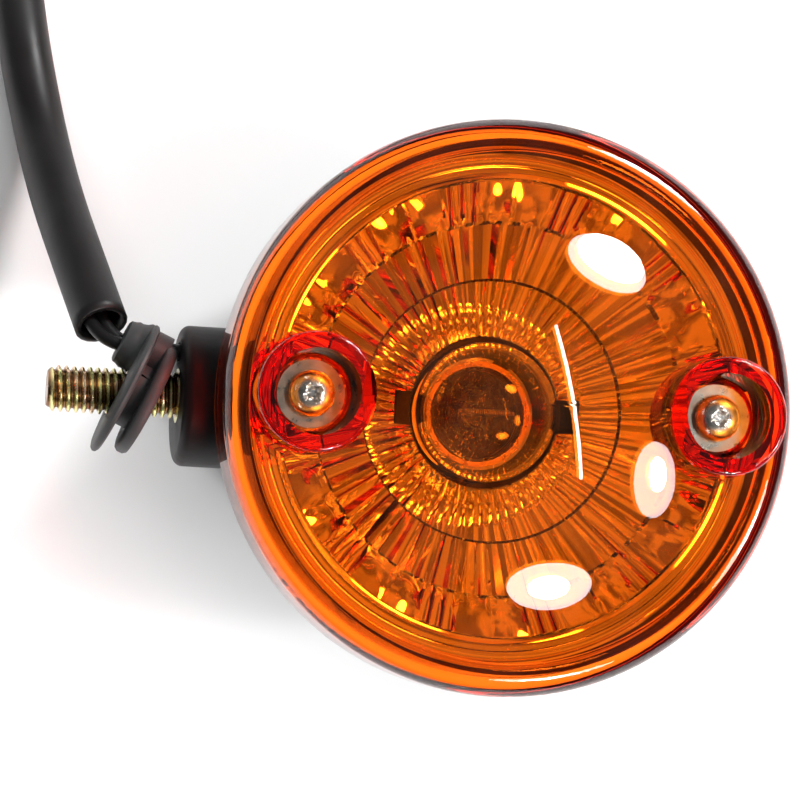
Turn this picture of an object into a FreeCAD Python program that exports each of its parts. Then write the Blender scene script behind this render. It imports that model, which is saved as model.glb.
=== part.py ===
import FreeCAD, Part
import math
import os

# Round turn signal lamp for a motorcycle, lying on its back.
# Millimetres. +Z is the lens axis, the mounting stud points along -X.
# The origin is on the lens axis, on the flat back of the housing.

V = FreeCAD.Vector
UP = V(0, 0, 1)
OUT = V(-1, 0, 0)  # the way the mounting stud points
EPS = 0.01

# ---- driving dimensions ------------------------------------------------
LENS_R = 36.0  # outside of the lens skirt
LENS_WALL = 1.8
SKIRT_BOTTOM_Z = 39.5
SKIRT_H = 7.5  # straight part of the skirt
SHOULDER_H = 3.6  # rounding between skirt and step
SHOULDER_W = 2.8
STEP_H = 0.5
DOME_H = 9.4  # rise of the dome above the step

GASKET_H = 0.8
GASKET_W = 1.6
SKIRT_CLEARANCE = 1.0  # lens skirt around the housing's collar

HOUSING_WALL = 2.0
BACK_R = 17.0  # flat of the back
FLANGE_H = 2.2
FLANGE_INSET = 0.4
COLLAR_H = 5.3  # collar above the flange, inside the skirt
BOWL_BULGE = 6.2  # how far the bowl's side stands out of its chord

BOSS_R = 9.0
BOSS_DROP = 1.7  # top of the boss below the flange's face
BOSS_REACH = 3.5  # face of the boss beyond the lens
BOSS_PAD_INSET = 3.7  # inner face that the stud's head bears on
BOSS_EDGE_R = 1.2

STUD_R = 3.0
STUD_REACH = 16.6  # thread that stands out of the boss
STUD_HEAD_RIM = 1.4
STUD_HEAD_H = 3.0
STUD_CHAMFER = 0.8
STUD_COLLAR = 0.5  # the shank inside the boss is thicker than the thread
STUD_HOLE_GAP = 0.05
STUD_HEAD_GAP = 0.4
HOLE_RUN = 12.0  # how far the boss's holes are cut into the hollow

WIRE_R = 0.9
WIRE_PITCH = 1.9  # the two wires, centre to centre
WIRE_WALL = 1.7  # between the stud's thread and the wires
WIRE_GAP = 0.3  # slot around the wires

SCREW_R = 1.45
SCREW_LENGTH = 11.0
SCREW_HEAD_R = 2.9
SCREW_HEAD_H = 2.2
SCREW_HOLE_R = 1.8
RECESS_ARM_W = 0.9
RECESS_DEPTH = 1.3
RECESS_HALF = 1.8
WASHER_R = 4.2
WASHER_T = 0.8
WASHER_GAP = 0.35  # well's floor around the washer
WELL_SINK = 0.6  # well's floor below the step
WELL_FLOOR_T = 2.0
WELL_RISE = 6.6  # well's mouth above the step
WELL_FLARE = 0.75  # mouth wider than the floor
WELL_TUBE_R = 7.4
WELL_TO_STEP = 0.2
WELL_SKIRT_H = 5.0  # tube that surrounds the post, below the well's floor
WELL_LIP_R = 0.6
WELL_POST_GAP = 1.0

POST_R = 3.4
POST_FOOT_RIM = 0.6
POST_FOOT_GAP = 0.1  # shoulder of the post above the boss
INSERT_R = 2.4
INSERT_L = 7.0
INSERT_GAP = 0.1

REFLECTOR_GAP = 1.4  # inside the collar
REFLECTOR_RIM_W = 0.8  # flat inside the collar
REFLECTOR_LIP_T = 0.6  # rim that lies on the collar
REFLECTOR_LIP_INSET = 0.2
REFLECTOR_T = 1.2
REFLECTOR_DEPTH = 12.5  # rim to the hole for the bulb
ZONE_INSET = (6.3, 13.1)  # rim to where the fluted zones change slope
ZONE_DEPTH = (4.1, 8.4)
NECK_H = 4.5
NECK_GAP = 0.7  # between the bulb and the neck
POST_HOLE_GAP = 0.2
NOTCH_W = 4.3
NOTCH_DEPTH = 1.5
NOTCH_DROP = 3.5

TOWER_WALL = 1.9
WINDOW_W = 9.0
WINDOW_H = 8.0

BULB_R = 9.0
BULB_RISE = 0.5  # bulb's centre above the hole of the reflector
BULB_NECK_R = 6.6
GLASS_WALL = 0.6
CAP_R = 7.5
CAP_WALL = 0.4
CAP_DROP = 6.4  # cap's top below the bulb's centre
CAP_H = 14.6
CAP_COLLAR_H = 2.0
INSULATOR_H = 2.2
CONTACT_R = 2.3
CONTACT_H = 1.0
PIN_R = 1.0
PIN_REACH = 1.05
PIN_ROOT = 1.0
PIN_DROP = 8.6  # pins below the cap's top
STEM_R = 2.0
STEM_FLARE_H = 2.6
STEM_SINK = 1.8
FILAMENT_DROP = 3.6  # stem's top below the bulb's centre
FILAMENT_RISE = 0.6
FILAMENT_R = 0.3
FILAMENT_HALF = 3.2
LEAD_WIRE_R = 0.25
LEAD_WIRE_X = 0.9
LEAD_SPREAD = 2.6

SHELL_GAP = 0.15
SHELL_WALL = 0.6
SHELL_DROP = 1.0  # shell's top below the cap's
SHELL_FLOOR_GAP = 0.6
SHELL_FLOOR_T = 0.6
TOWER_GAP = 0.75  # room for the bayonet pins
SLOT_GAP = 0.25
BAYONET_TURN = 25.0  # degrees between the entry slot and the hook
PRESS = 1.4  # travel of the bulb against its spring

BASE_T = 0.8
TERMINAL_T = 0.4
TAIL_W = 2.6
TAIL_Y = 1.7
TAIL_X = 13.5
TAB_X = 3.0
CARRIER_T = 1.3
RIVET_STEM = 0.4
CARRIER_R = 7.0
SPRING_R = 5.2
SPRING_WIRE_R = 0.25
SPRING_TURNS = 3
SPRING_STEPS = 12  # points to a turn
SPRING_FLATS = 10

GROMMET_TILT = 24.0
GROMMET_GAP = 5.4  # middle of the grommet from the boss's face
FLANGE_1_R = 9.0
FLANGE_1_T = 1.3
FLANGE_2_R = 7.6
FLANGE_2_T = 1.8
GROOVE_W = 1.6
GROMMET_CORE_R = 3.3
GROMMET_CORE_INSET = 0.4
GROMMET_STUD_GAP = 1.1
GROMMET_WIRE_GAP = 0.05
BOOT_H = 2.6
BOOT_END_R = 2.9

SLEEVE_R = 3.5
SLEEVE_BORE_R = 2.7

BULLET_R = 1.95
BULLET_L = 8.5
BULLET_CRIMP_R = 1.6
BULLET_CRIMP_L = 7.5
BULLET_LIP = 0.35
COVER_R = 3.0
COVER_L = 15.0
COVER_WALL = 0.7

# ---- places that follow from them ------------------------------------------
STEP_R = LENS_R - SHOULDER_W
STEP_Z = SKIRT_BOTTOM_Z + SKIRT_H + SHOULDER_H
DOME_Z = STEP_Z + STEP_H
APEX_Z = DOME_Z + DOME_H
DOME_BALL_R = (STEP_R ** 2 + DOME_H ** 2) / (2 * DOME_H)
DOME_BALL_Z = APEX_Z - DOME_BALL_R
SKIRT_IN_R = LENS_R - LENS_WALL

FLANGE_TOP_Z = SKIRT_BOTTOM_Z - GASKET_H
FLANGE_R = LENS_R - FLANGE_INSET
COLLAR_R = SKIRT_IN_R - SKIRT_CLEARANCE
COLLAR_TOP_Z = FLANGE_TOP_Z + COLLAR_H
COLLAR_IN_R = COLLAR_R - HOUSING_WALL

BOSS_Z = FLANGE_TOP_Z - BOSS_DROP - BOSS_R
BOSS_FACE_X = LENS_R + BOSS_REACH
BOSS_PAD_X = COLLAR_IN_R - BOSS_PAD_INSET
STUD_SHANK_R = STUD_R + STUD_COLLAR
STUD_HEAD_R = STUD_R + STUD_HEAD_RIM
WIRE_Y = STUD_R + WIRE_WALL + WIRE_R
FEED_Z = BOSS_Z + WIRE_PITCH / 2
GROUND_Z = BOSS_Z - WIRE_PITCH / 2
GROMMET_X = BOSS_FACE_X + GROMMET_GAP
GROMMET_STUD_HOLE_R = STUD_R + GROMMET_STUD_GAP

SCREW_X = STEP_R - WELL_TUBE_R - WELL_TO_STEP
WELL_FLOOR_Z = STEP_Z - WELL_SINK
WELL_MOUTH_Z = STEP_Z + WELL_RISE
WELL_FLOOR_R = WASHER_R + WASHER_GAP
WELL_MOUTH_R = WELL_FLOOR_R + WELL_FLARE
WELL_SKIRT_Z = WELL_FLOOR_Z - WELL_SKIRT_H
SCREW_SEAT_Z = WELL_FLOOR_Z + WASHER_T
POST_TOP_Z = WELL_FLOOR_Z - WELL_FLOOR_T
POST_FOOT_R = POST_R + POST_FOOT_RIM
POST_SHOULDER_Z = BOSS_Z + BOSS_R + POST_FOOT_GAP

REFLECTOR_R = COLLAR_IN_R - REFLECTOR_GAP
REFLECTOR_RIM_Z = COLLAR_TOP_Z
REFLECTOR_LIP_R = COLLAR_R - REFLECTOR_LIP_INSET
REFLECTOR_TOP_Z = REFLECTOR_RIM_Z + REFLECTOR_LIP_T
REFLECTOR_HOLE_R = BULB_R + NECK_GAP
REFLECTOR_HOLE_Z = REFLECTOR_RIM_Z - REFLECTOR_DEPTH
TOWER_TOP_Z = REFLECTOR_HOLE_Z - NECK_H

BULB_Z = REFLECTOR_HOLE_Z + BULB_RISE
CAP_TOP_Z = BULB_Z - CAP_DROP
CAP_BOTTOM_Z = CAP_TOP_Z - CAP_H
TIP_Z = CAP_BOTTOM_Z - CONTACT_H
PIN_Z = CAP_TOP_Z - PIN_DROP
SHELL_IN_R = CAP_R + SHELL_GAP
SHELL_R = SHELL_IN_R + SHELL_WALL
SHELL_TOP_Z = CAP_TOP_Z - SHELL_DROP
SHELL_FLOOR_Z = HOUSING_WALL + SHELL_FLOOR_GAP
TOWER_IN_R = SHELL_R + TOWER_GAP
TOWER_R = TOWER_IN_R + TOWER_WALL
BASE_Z = SHELL_FLOOR_Z + SHELL_FLOOR_T
TERMINAL_Z = BASE_Z + BASE_T
SPRING_Z = TERMINAL_Z + TERMINAL_T
CARRIER_TOP_Z = TIP_Z - RIVET_STEM
CARRIER_Z = CARRIER_TOP_Z - CARRIER_T
WIRE_END_X = BOSS_PAD_X + 3.5  # where the inner wires run into the lead's
LIE_Z = SLEEVE_R + 0.1  # the sleeve's middle, lying on the table


# ---- routes chosen by hand ---------------------------------------------------
# x is measured from the boss's face, z from its axis until the lead lies on the table.
BEND_SHARE = 0.45  # of the shorter run goes into each arc


def from_boss(x, y, z):
    return (-BOSS_FACE_X + x, y, max(BOSS_Z + z, LIE_Z))


def lying(x, y, z=LIE_Z):
    return (-BOSS_FACE_X + x, y, z)


LEAD = [
    from_boss(-10.7, 9.2, -1.6),
    from_boss(-13.5, 17.8, -8.0),
    from_boss(-15.8, 26.6, -15.4),
    from_boss(-18.1, 36.6, -22.0),
    lying(-20.7, 48.4),
    lying(-22.9, 61.4),
    lying(-18.1, 74.2),
    lying(-6.5, 83.2),
    lying(8.5, 86.6),
    lying(22.5, 84.6),
    lying(34.5, 82.8),
]
FEED_ROUTE = [
    (-WIRE_END_X, WIRE_Y, FEED_Z),
    (-BOSS_FACE_X + 3.3, WIRE_Y, FEED_Z),
    (-BOSS_FACE_X - 1.9, WIRE_Y + 0.04, FEED_Z + 0.01),
    (-BOSS_FACE_X - 6.3, WIRE_Y, FEED_Z - 0.05),
    from_boss(-10.4, 7.0, 0.1),
    from_boss(-12.8, 11.2, -2.8),
    from_boss(-14.7, 18.0, -8.2),
    from_boss(-16.8, 26.4, -15.3),
    from_boss(-19.1, 36.4, -21.9),
    lying(-21.7, 48.4),
    lying(-23.9, 61.5),
    lying(-18.9, 74.8),
    lying(-6.9, 84.1),
    lying(8.5, 87.6),
    lying(22.6, 85.6),
    lying(34.5, 83.8),
    lying(46.0, 84.2, 3.4),
    lying(56.0, 87.3, 3.0),
    lying(65.0, 88.2, 3.0),
]
GROUND_ROUTE = [
    (-WIRE_END_X, WIRE_Y, GROUND_Z),
    (-BOSS_FACE_X + 3.3, WIRE_Y, GROUND_Z),
    (-BOSS_FACE_X - 1.9, WIRE_Y - 0.04, GROUND_Z - 0.01),
    (-BOSS_FACE_X - 5.5, WIRE_Y + 0.05, GROUND_Z - 0.05),
    from_boss(-8.9, 7.4, -1.3),
    from_boss(-10.9, 11.4, -3.4),
    from_boss(-12.7, 18.2, -8.4),
    from_boss(-14.8, 26.8, -15.5),
    from_boss(-17.1, 36.8, -22.1),
    lying(-19.7, 48.4),
    lying(-21.9, 61.3),
    lying(-17.3, 73.6),
    lying(-6.1, 82.3),
    lying(8.5, 85.6),
    lying(22.4, 83.6),
    lying(34.3, 81.8),
    lying(44.5, 79.8, 3.4),
    lying(53.0, 76.8, 3.0),
    lying(61.5, 75.6, 3.0),
]
INNER_FEED_ROUTE = [
    (-TAIL_X, TAIL_Y, TERMINAL_Z + TERMINAL_T + WIRE_R),
    (-16.6, 2.2, 5.8),
    (-19.2, 5.0, 9.6),
    (-20.3, 7.3, 15.6),
    (-21.3, WIRE_Y + 1.9, BOSS_Z - 5.4),
    (-BOSS_PAD_X + 2.1, WIRE_Y, FEED_Z),
    (-WIRE_END_X, WIRE_Y, FEED_Z),
]
INNER_GROUND_ROUTE = [
    (-TAIL_X, -TAIL_Y, SHELL_FLOOR_Z + WIRE_R),
    (-16.4, -1.2, 4.1),
    (-19.0, 1.0, 7.2),
    (-21.2, 3.8, 12.6),
    (-23.0, WIRE_Y - 0.1, BOSS_Z - 8.4),
    (-BOSS_PAD_X + 1.6, WIRE_Y, GROUND_Z),
    (-WIRE_END_X, WIRE_Y, GROUND_Z),
]


# ---- helpers ----------------------------------------------------------------
def cyl(r, h, base, axis=UP):
    return Part.makeCylinder(r, h, V(*base), axis)


def tube(r, r_in, h, base, axis=UP):
    start = V(*base) - axis * EPS
    return cyl(r, h, base, axis).cut(Part.makeCylinder(r_in, h + 2 * EPS, start, axis))


def box(x0, x1, y0, y1, z0, z1):
    return Part.makeBox(x1 - x0, y1 - y0, z1 - z0, V(x0, y0, z0))


def turned(edges):
    """A solid of revolution about Z from the closed outline of edges in the XZ plane."""
    face = Part.Face(Part.Wire(edges))
    return face.revolve(V(0, 0, 0), UP, 360)


def line(a, b):
    return Part.LineSegment(V(a[0], 0, a[1]), V(b[0], 0, b[1])).toShape()


def arc(a, m, b):
    return Part.Arc(V(a[0], 0, a[1]), V(m[0], 0, m[1]), V(b[0], 0, b[1])).toShape()


def outline(points):
    return [line(a, b) for a, b in zip(points, points[1:] + points[:1])]


def ball_z(r, centre_z, ball_r):
    return centre_z + math.sqrt(ball_r ** 2 - r ** 2)


def both_sides(shape):
    """The shape and its copy on the other side of the lens axis."""
    other = shape.copy()
    other.rotate(V(0, 0, 0), UP, 180)
    return [shape, other]


def slot_along_x(x0, x1, half_y, half_z):
    """An obround prism along X around the pair of wires."""
    straight = half_z - half_y
    core = box(x0, x1, WIRE_Y - half_y, WIRE_Y + half_y, BOSS_Z - straight, BOSS_Z + straight)
    for side in (-1, 1):
        core = core.fuse(cyl(half_y, x1 - x0, (x0, WIRE_Y, BOSS_Z + side * straight), V(1, 0, 0)))
    return core.removeSplitter()


def cord_path(points):
    """Straight runs joined by tangent arcs, and the arcs' radii."""
    at = [V(*p) for p in points]
    edges = []
    radii = []
    here = at[0]
    for before, corner, after in zip(at, at[1:], at[2:]):
        run_in = corner - before
        run_out = after - corner
        turn = run_in.getAngle(run_out)
        cut = BEND_SHARE * min(run_in.Length, run_out.Length)
        radius = cut / math.tan(turn / 2)
        d_in = V(run_in).normalize()
        d_out = V(run_out).normalize()
        start = corner - d_in * cut
        end = corner + d_out * cut
        inward = (d_out - d_in).normalize()
        middle = corner + inward * (radius / math.cos(turn / 2) - radius)
        edges.append(Part.LineSegment(here, start).toShape())
        edges.append(Part.Arc(start, middle, end).toShape())
        radii.append(radius)
        here = end
    edges.append(Part.LineSegment(here, at[-1]).toShape())
    return Part.Wire(edges), radii


def swept(path, radius):
    edges = path.Edges
    first = edges[0]
    start = first.valueAt(first.FirstParameter)
    heading = first.tangentAt(first.FirstParameter)
    ring = Part.Wire([Part.Circle(start, heading, radius).toShape()])
    return path.makePipeShell([ring], True, True)


def cord(name, points, radius, bore=0.0):
    path, radii = cord_path(points)
    solid = swept(path, radius)
    section = math.pi * radius ** 2
    if bore:
        solid = solid.cut(swept(path, bore))
        section -= math.pi * bore ** 2
    ratio = solid.Volume / (section * path.Length)
    print(name, "length", round(path.Length, 1), "volume ratio", round(ratio, 4),
          "radii", [round(r, 1) for r in radii])
    return solid


# ---- sub-parts ---------------------------------------------------------------
def bowl_arc(r_low, z_low, r_high, z_high, bulge):
    """Side of the bowl between two points, bulging outwards from their chord."""
    run = V(r_high - r_low, 0, z_high - z_low)
    side = V(run.z, 0, -run.x).normalize() * bulge
    mid = V((r_low + r_high) / 2, 0, (z_low + z_high) / 2) + side
    return arc((r_low, z_low), (mid.x, mid.z), (r_high, z_high))


def bowl(offset, top_z, top_r):
    """The bowl's outside, or the hollow inside it when offset is the wall."""
    low_r = BACK_R - offset / 2
    side_r = COLLAR_IN_R + HOUSING_WALL - offset
    side_z = FLANGE_TOP_Z - FLANGE_H - 1.0
    edges = [
        line((0, offset), (low_r, offset)),
        bowl_arc(low_r, offset, side_r, side_z, BOWL_BULGE),
        line((side_r, side_z), (side_r, top_z)),
        line((side_r, top_z), (0, top_z)),
        line((0, top_z), (0, offset)),
    ]
    return turned(edges)


def housing():
    body = bowl(0, COLLAR_TOP_Z, COLLAR_R)
    body = body.fuse(cyl(FLANGE_R, FLANGE_H, (0, 0, FLANGE_TOP_Z - FLANGE_H)))
    boss = cyl(BOSS_R, BOSS_FACE_X - BOSS_PAD_X, (-BOSS_PAD_X, 0, BOSS_Z), OUT)
    rim = [e for e in boss.Edges if abs(e.BoundBox.XMin + BOSS_FACE_X) < EPS and e.BoundBox.XLength < EPS]
    boss = boss.makeFillet(BOSS_EDGE_R, rim)
    hollow = bowl(HOUSING_WALL, COLLAR_TOP_Z + 1, COLLAR_IN_R)
    tower = tube(TOWER_R, TOWER_IN_R, TOWER_TOP_Z - HOUSING_WALL + 0.5, (0, 0, HOUSING_WALL - 0.5))
    window = box(-TOWER_R - 1, 0, -WINDOW_W / 2, WINDOW_W / 2, HOUSING_WALL, HOUSING_WALL + WINDOW_H)
    tower = tower.cut(window)
    foot = cyl(POST_FOOT_R, POST_SHOULDER_Z - HOUSING_WALL, (SCREW_X, 0, HOUSING_WALL))
    post = foot.fuse(cyl(POST_R, POST_TOP_Z - HOUSING_WALL, (SCREW_X, 0, HOUSING_WALL)))
    posts = both_sides(post)
    inside = bowl(HOUSING_WALL / 2, POST_TOP_Z + 1, COLLAR_IN_R)
    shaped = body.cut(hollow).fuse([boss, tower] + [p.common(inside) for p in posts])
    stud_hole = cyl(STUD_SHANK_R + STUD_HOLE_GAP, BOSS_FACE_X, (-BOSS_PAD_X + HOLE_RUN, 0, BOSS_Z), OUT)
    head_room = cyl(STUD_HEAD_R + STUD_HEAD_GAP, HOLE_RUN, (-BOSS_PAD_X + HOLE_RUN, 0, BOSS_Z), OUT)
    half_y = WIRE_R + WIRE_GAP
    half_z = WIRE_PITCH / 2 + WIRE_R + WIRE_GAP
    wire_slot = slot_along_x(-BOSS_FACE_X - 1, -BOSS_PAD_X + HOLE_RUN, half_y, half_z)
    shaped = shaped.cut([stud_hole, head_room, wire_slot])
    for hole in both_sides(cyl(INSERT_R, INSERT_L, (SCREW_X, 0, POST_TOP_Z - INSERT_L))):
        shaped = shaped.cut(hole)
    for hole in both_sides(cyl(SCREW_HOLE_R, 6, (SCREW_X, 0, POST_TOP_Z - INSERT_L - 4))):
        shaped = shaped.cut(hole)
    return shaped.removeSplitter()


def lens_gasket():
    return tube(SKIRT_IN_R + GASKET_W - 0.1, SKIRT_IN_R - 0.6, GASKET_H, (0, 0, FLANGE_TOP_Z))


def thread_inserts():
    one = tube(INSERT_R, SCREW_R + INSERT_GAP, INSERT_L, (SCREW_X, 0, POST_TOP_Z - INSERT_L))
    return Part.makeCompound(both_sides(one))


def well(x):
    """The tube of one screw well, and what is cut out of it."""
    lip = WELL_LIP_R
    edges = [
        line((0, WELL_SKIRT_Z), (WELL_TUBE_R, WELL_SKIRT_Z)),
        line((WELL_TUBE_R, WELL_SKIRT_Z), (WELL_TUBE_R, WELL_MOUTH_Z - lip)),
        arc((WELL_TUBE_R, WELL_MOUTH_Z - lip),
            (WELL_TUBE_R - lip * (1 - math.sqrt(0.5)), WELL_MOUTH_Z - lip * (1 - math.sqrt(0.5))),
            (WELL_TUBE_R - lip, WELL_MOUTH_Z)),
        line((WELL_TUBE_R - lip, WELL_MOUTH_Z), (0, WELL_MOUTH_Z)),
        line((0, WELL_MOUTH_Z), (0, WELL_SKIRT_Z)),
    ]
    post = turned(edges)
    taper = (WELL_MOUTH_R - WELL_FLOOR_R) / (WELL_MOUTH_Z - WELL_FLOOR_Z)
    top_z = APEX_Z + 1
    bore = Part.makeCone(WELL_FLOOR_R, WELL_FLOOR_R + taper * (top_z - WELL_FLOOR_Z),
                         top_z - WELL_FLOOR_Z, V(0, 0, WELL_FLOOR_Z))
    hole = cyl(SCREW_HOLE_R, WELL_FLOOR_T + 2, (0, 0, POST_TOP_Z - 1))
    socket = cyl(POST_R + WELL_POST_GAP, POST_TOP_Z - WELL_SKIRT_Z + 1, (0, 0, WELL_SKIRT_Z - 1))
    cuts = [bore, hole, socket]
    for shape in [post] + cuts:
        shape.translate(V(x, 0, 0))
    return post, cuts


def dome_shell(inset):
    """The lens's outside, or its hollow when inset is the wall."""
    ball_r = DOME_BALL_R - inset
    skirt_r = LENS_R - inset
    step_r = STEP_R - inset
    shoulder_z = SKIRT_BOTTOM_Z + SKIRT_H - inset
    step_z = STEP_Z - inset
    dome_z = ball_z(step_r, DOME_BALL_Z, ball_r)
    root_half = math.sqrt(0.5)
    wide = skirt_r - step_r
    high = step_z - shoulder_z
    shoulder_mid = (skirt_r - wide * (1 - root_half), shoulder_z + high * root_half)
    half_r = step_r / 2
    edges = [
        line((0, SKIRT_BOTTOM_Z), (skirt_r, SKIRT_BOTTOM_Z)),
        line((skirt_r, SKIRT_BOTTOM_Z), (skirt_r, shoulder_z)),
        arc((skirt_r, shoulder_z), shoulder_mid, (step_r, step_z)),
        line((step_r, step_z), (step_r, dome_z)),
        arc((step_r, dome_z), (half_r, ball_z(half_r, DOME_BALL_Z, ball_r)), (0, DOME_BALL_Z + ball_r)),
        line((0, DOME_BALL_Z + ball_r), (0, SKIRT_BOTTOM_Z)),
    ]
    return turned(edges)


def lens():
    shell = dome_shell(0).cut(dome_shell(LENS_WALL))
    cuts = []
    for x in (-SCREW_X, SCREW_X):
        post, post_cuts = well(x)
        shell = shell.fuse(post)
        cuts += post_cuts
    return shell.cut(cuts).removeSplitter()


def lens_screw(x):
    """Cross-recessed pan head screw; its thread is plain at the major radius."""
    half = RECESS_HALF
    edges = [
        line((0, SCREW_SEAT_Z), (SCREW_HEAD_R, SCREW_SEAT_Z)),
        line((SCREW_HEAD_R, SCREW_SEAT_Z), (SCREW_HEAD_R, SCREW_SEAT_Z + SCREW_HEAD_H * 0.35)),
        arc((SCREW_HEAD_R, SCREW_SEAT_Z + SCREW_HEAD_H * 0.35),
            (SCREW_HEAD_R * 0.9, SCREW_SEAT_Z + SCREW_HEAD_H * 0.8), (half, SCREW_SEAT_Z + SCREW_HEAD_H)),
        line((half, SCREW_SEAT_Z + SCREW_HEAD_H), (0, SCREW_SEAT_Z + SCREW_HEAD_H)),
        line((0, SCREW_SEAT_Z + SCREW_HEAD_H), (0, SCREW_SEAT_Z)),
    ]
    screw = turned(edges).fuse(cyl(SCREW_R, SCREW_LENGTH, (0, 0, SCREW_SEAT_Z - SCREW_LENGTH)))
    arm = box(-half, half, -RECESS_ARM_W / 2, RECESS_ARM_W / 2,
              SCREW_SEAT_Z + SCREW_HEAD_H - RECESS_DEPTH, SCREW_SEAT_Z + SCREW_HEAD_H + 1)
    other = arm.copy()
    other.rotate(V(0, 0, 0), UP, 90)
    screw = screw.cut([arm, other])
    screw.translate(V(x, 0, 0))
    return screw


def screw_washer(x):
    return tube(WASHER_R, SCREW_HOLE_R, WASHER_T, (x, 0, WELL_FLOOR_Z))


def reflector():
    """Dish in three sloped zones: a lip on the collar, a neck around the bulb and holes for the posts."""
    zones = [(REFLECTOR_R - inset, REFLECTOR_RIM_Z - depth) for inset, depth in zip(ZONE_INSET, ZONE_DEPTH)]
    top = [
        (REFLECTOR_R, REFLECTOR_RIM_Z),
        (REFLECTOR_LIP_R, REFLECTOR_RIM_Z),
        (REFLECTOR_LIP_R, REFLECTOR_TOP_Z),
        (REFLECTOR_R - REFLECTOR_RIM_W, REFLECTOR_TOP_Z),
        zones[0],
        zones[1],
        (REFLECTOR_HOLE_R, REFLECTOR_HOLE_Z),
        (REFLECTOR_HOLE_R, TOWER_TOP_Z),
    ]
    under = [
        (REFLECTOR_HOLE_R + REFLECTOR_T, TOWER_TOP_Z),
        (REFLECTOR_HOLE_R + REFLECTOR_T, REFLECTOR_HOLE_Z - REFLECTOR_T * 0.8),
        (zones[1][0], zones[1][1] - REFLECTOR_T * 1.2),
        (zones[0][0], zones[0][1] - REFLECTOR_T * 1.2),
        (REFLECTOR_R, REFLECTOR_RIM_Z - REFLECTOR_T * 2.0),
    ]
    dish = turned(outline(top + under))
    collar = cyl(POST_FOOT_R + REFLECTOR_T / 2, REFLECTOR_RIM_Z - POST_SHOULDER_Z - REFLECTOR_T / 2,
                 (SCREW_X, 0, POST_SHOULDER_Z))
    dish_room = turned(outline([(0, REFLECTOR_RIM_Z), (REFLECTOR_R, REFLECTOR_RIM_Z),
                                (REFLECTOR_R, POST_SHOULDER_Z), (0, POST_SHOULDER_Z)]))
    for piece in both_sides(collar.common(dish_room)):
        dish = dish.fuse(piece)
    hole = cyl(POST_R + POST_HOLE_GAP, 20, (SCREW_X, 0, POST_SHOULDER_Z - 5))
    for piece in both_sides(hole):
        dish = dish.cut(piece)
    notch_r = REFLECTOR_HOLE_R + NOTCH_DEPTH
    notch = box(REFLECTOR_HOLE_R - 2, notch_r, -NOTCH_W / 2, NOTCH_W / 2,
                REFLECTOR_HOLE_Z - NOTCH_DROP, REFLECTOR_HOLE_Z + 3)
    for piece in both_sides(notch):
        dish = dish.cut(piece)
    return dish.removeSplitter()


def mounting_stud():
    """Headed stud: plain inside the boss, threaded (shown at its major radius) outside."""
    head = cyl(STUD_HEAD_R, STUD_HEAD_H, (-BOSS_PAD_X + STUD_HEAD_H, 0, BOSS_Z), OUT)
    shank = cyl(STUD_SHANK_R, BOSS_FACE_X - BOSS_PAD_X, (-BOSS_PAD_X, 0, BOSS_Z), OUT)
    thread = cyl(STUD_R, STUD_REACH, (-BOSS_FACE_X, 0, BOSS_Z), OUT)
    tip = [e for e in thread.Edges
           if e.BoundBox.XLength < EPS and e.BoundBox.XMax < -BOSS_FACE_X - EPS]
    return head.fuse([shank, thread.makeChamfer(STUD_CHAMFER, tip)]).removeSplitter()


def socket_shell():
    """Steel cup for the bulb's cap, with entry slots and hooks for the bayonet pins."""
    floor = tube(SHELL_R, CONTACT_R, SHELL_FLOOR_T, (0, 0, SHELL_FLOOR_Z))
    wall = tube(SHELL_R, SHELL_IN_R, SHELL_TOP_Z - SHELL_FLOOR_Z, (0, 0, SHELL_FLOOR_Z))
    shell = floor.fuse(wall)
    half = PIN_R + SLOT_GAP
    low = PIN_Z - PRESS - half
    entry = box(-half, half, SHELL_IN_R - 1, SHELL_R + 1, low, SHELL_TOP_Z + 1)
    entry.rotate(V(0, 0, 0), UP, -BAYONET_TURN)
    hook = box(-half, half, SHELL_IN_R - 1, SHELL_R + 1, low, PIN_Z + half)
    ring = tube(SHELL_R + 1, SHELL_IN_R - 1, 2 * half, (0, 0, low))
    reach = SHELL_R * math.tan(math.radians(BAYONET_TURN))
    sweep = ring.common(box(0, reach + half / 2, 0, SHELL_R + 1, low, low + 2 * half))
    for piece in [entry, hook, sweep]:
        for cut in both_sides(piece):
            shell = shell.cut(cut)
    tail_slot = box(-SHELL_R - 1, -SHELL_IN_R + 1, -TAIL_Y - TAIL_W, TAIL_Y + TAIL_W,
                    BASE_Z, CARRIER_Z - PRESS - 0.2)
    return shell.cut(tail_slot).removeSplitter()


def socket_base():
    return tube(SHELL_IN_R - 0.1, CONTACT_R, BASE_T, (0, 0, BASE_Z))


def feed_terminal():
    ring = tube(SHELL_IN_R - 0.8, CONTACT_R, TERMINAL_T, (0, 0, TERMINAL_Z))
    tail = box(-TAIL_X, -SHELL_IN_R + 1.6, TAIL_Y - TAIL_W / 2, TAIL_Y + TAIL_W / 2,
               TERMINAL_Z, TERMINAL_Z + TERMINAL_T)
    return ring.fuse(tail).removeSplitter()


def ground_terminal():
    """Steel tab under the socket's floor."""
    return box(-TAIL_X, -TAB_X, -TAIL_Y - TAIL_W / 2, -TAIL_Y + TAIL_W / 2,
               SHELL_FLOOR_Z - TERMINAL_T, SHELL_FLOOR_Z)


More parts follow.
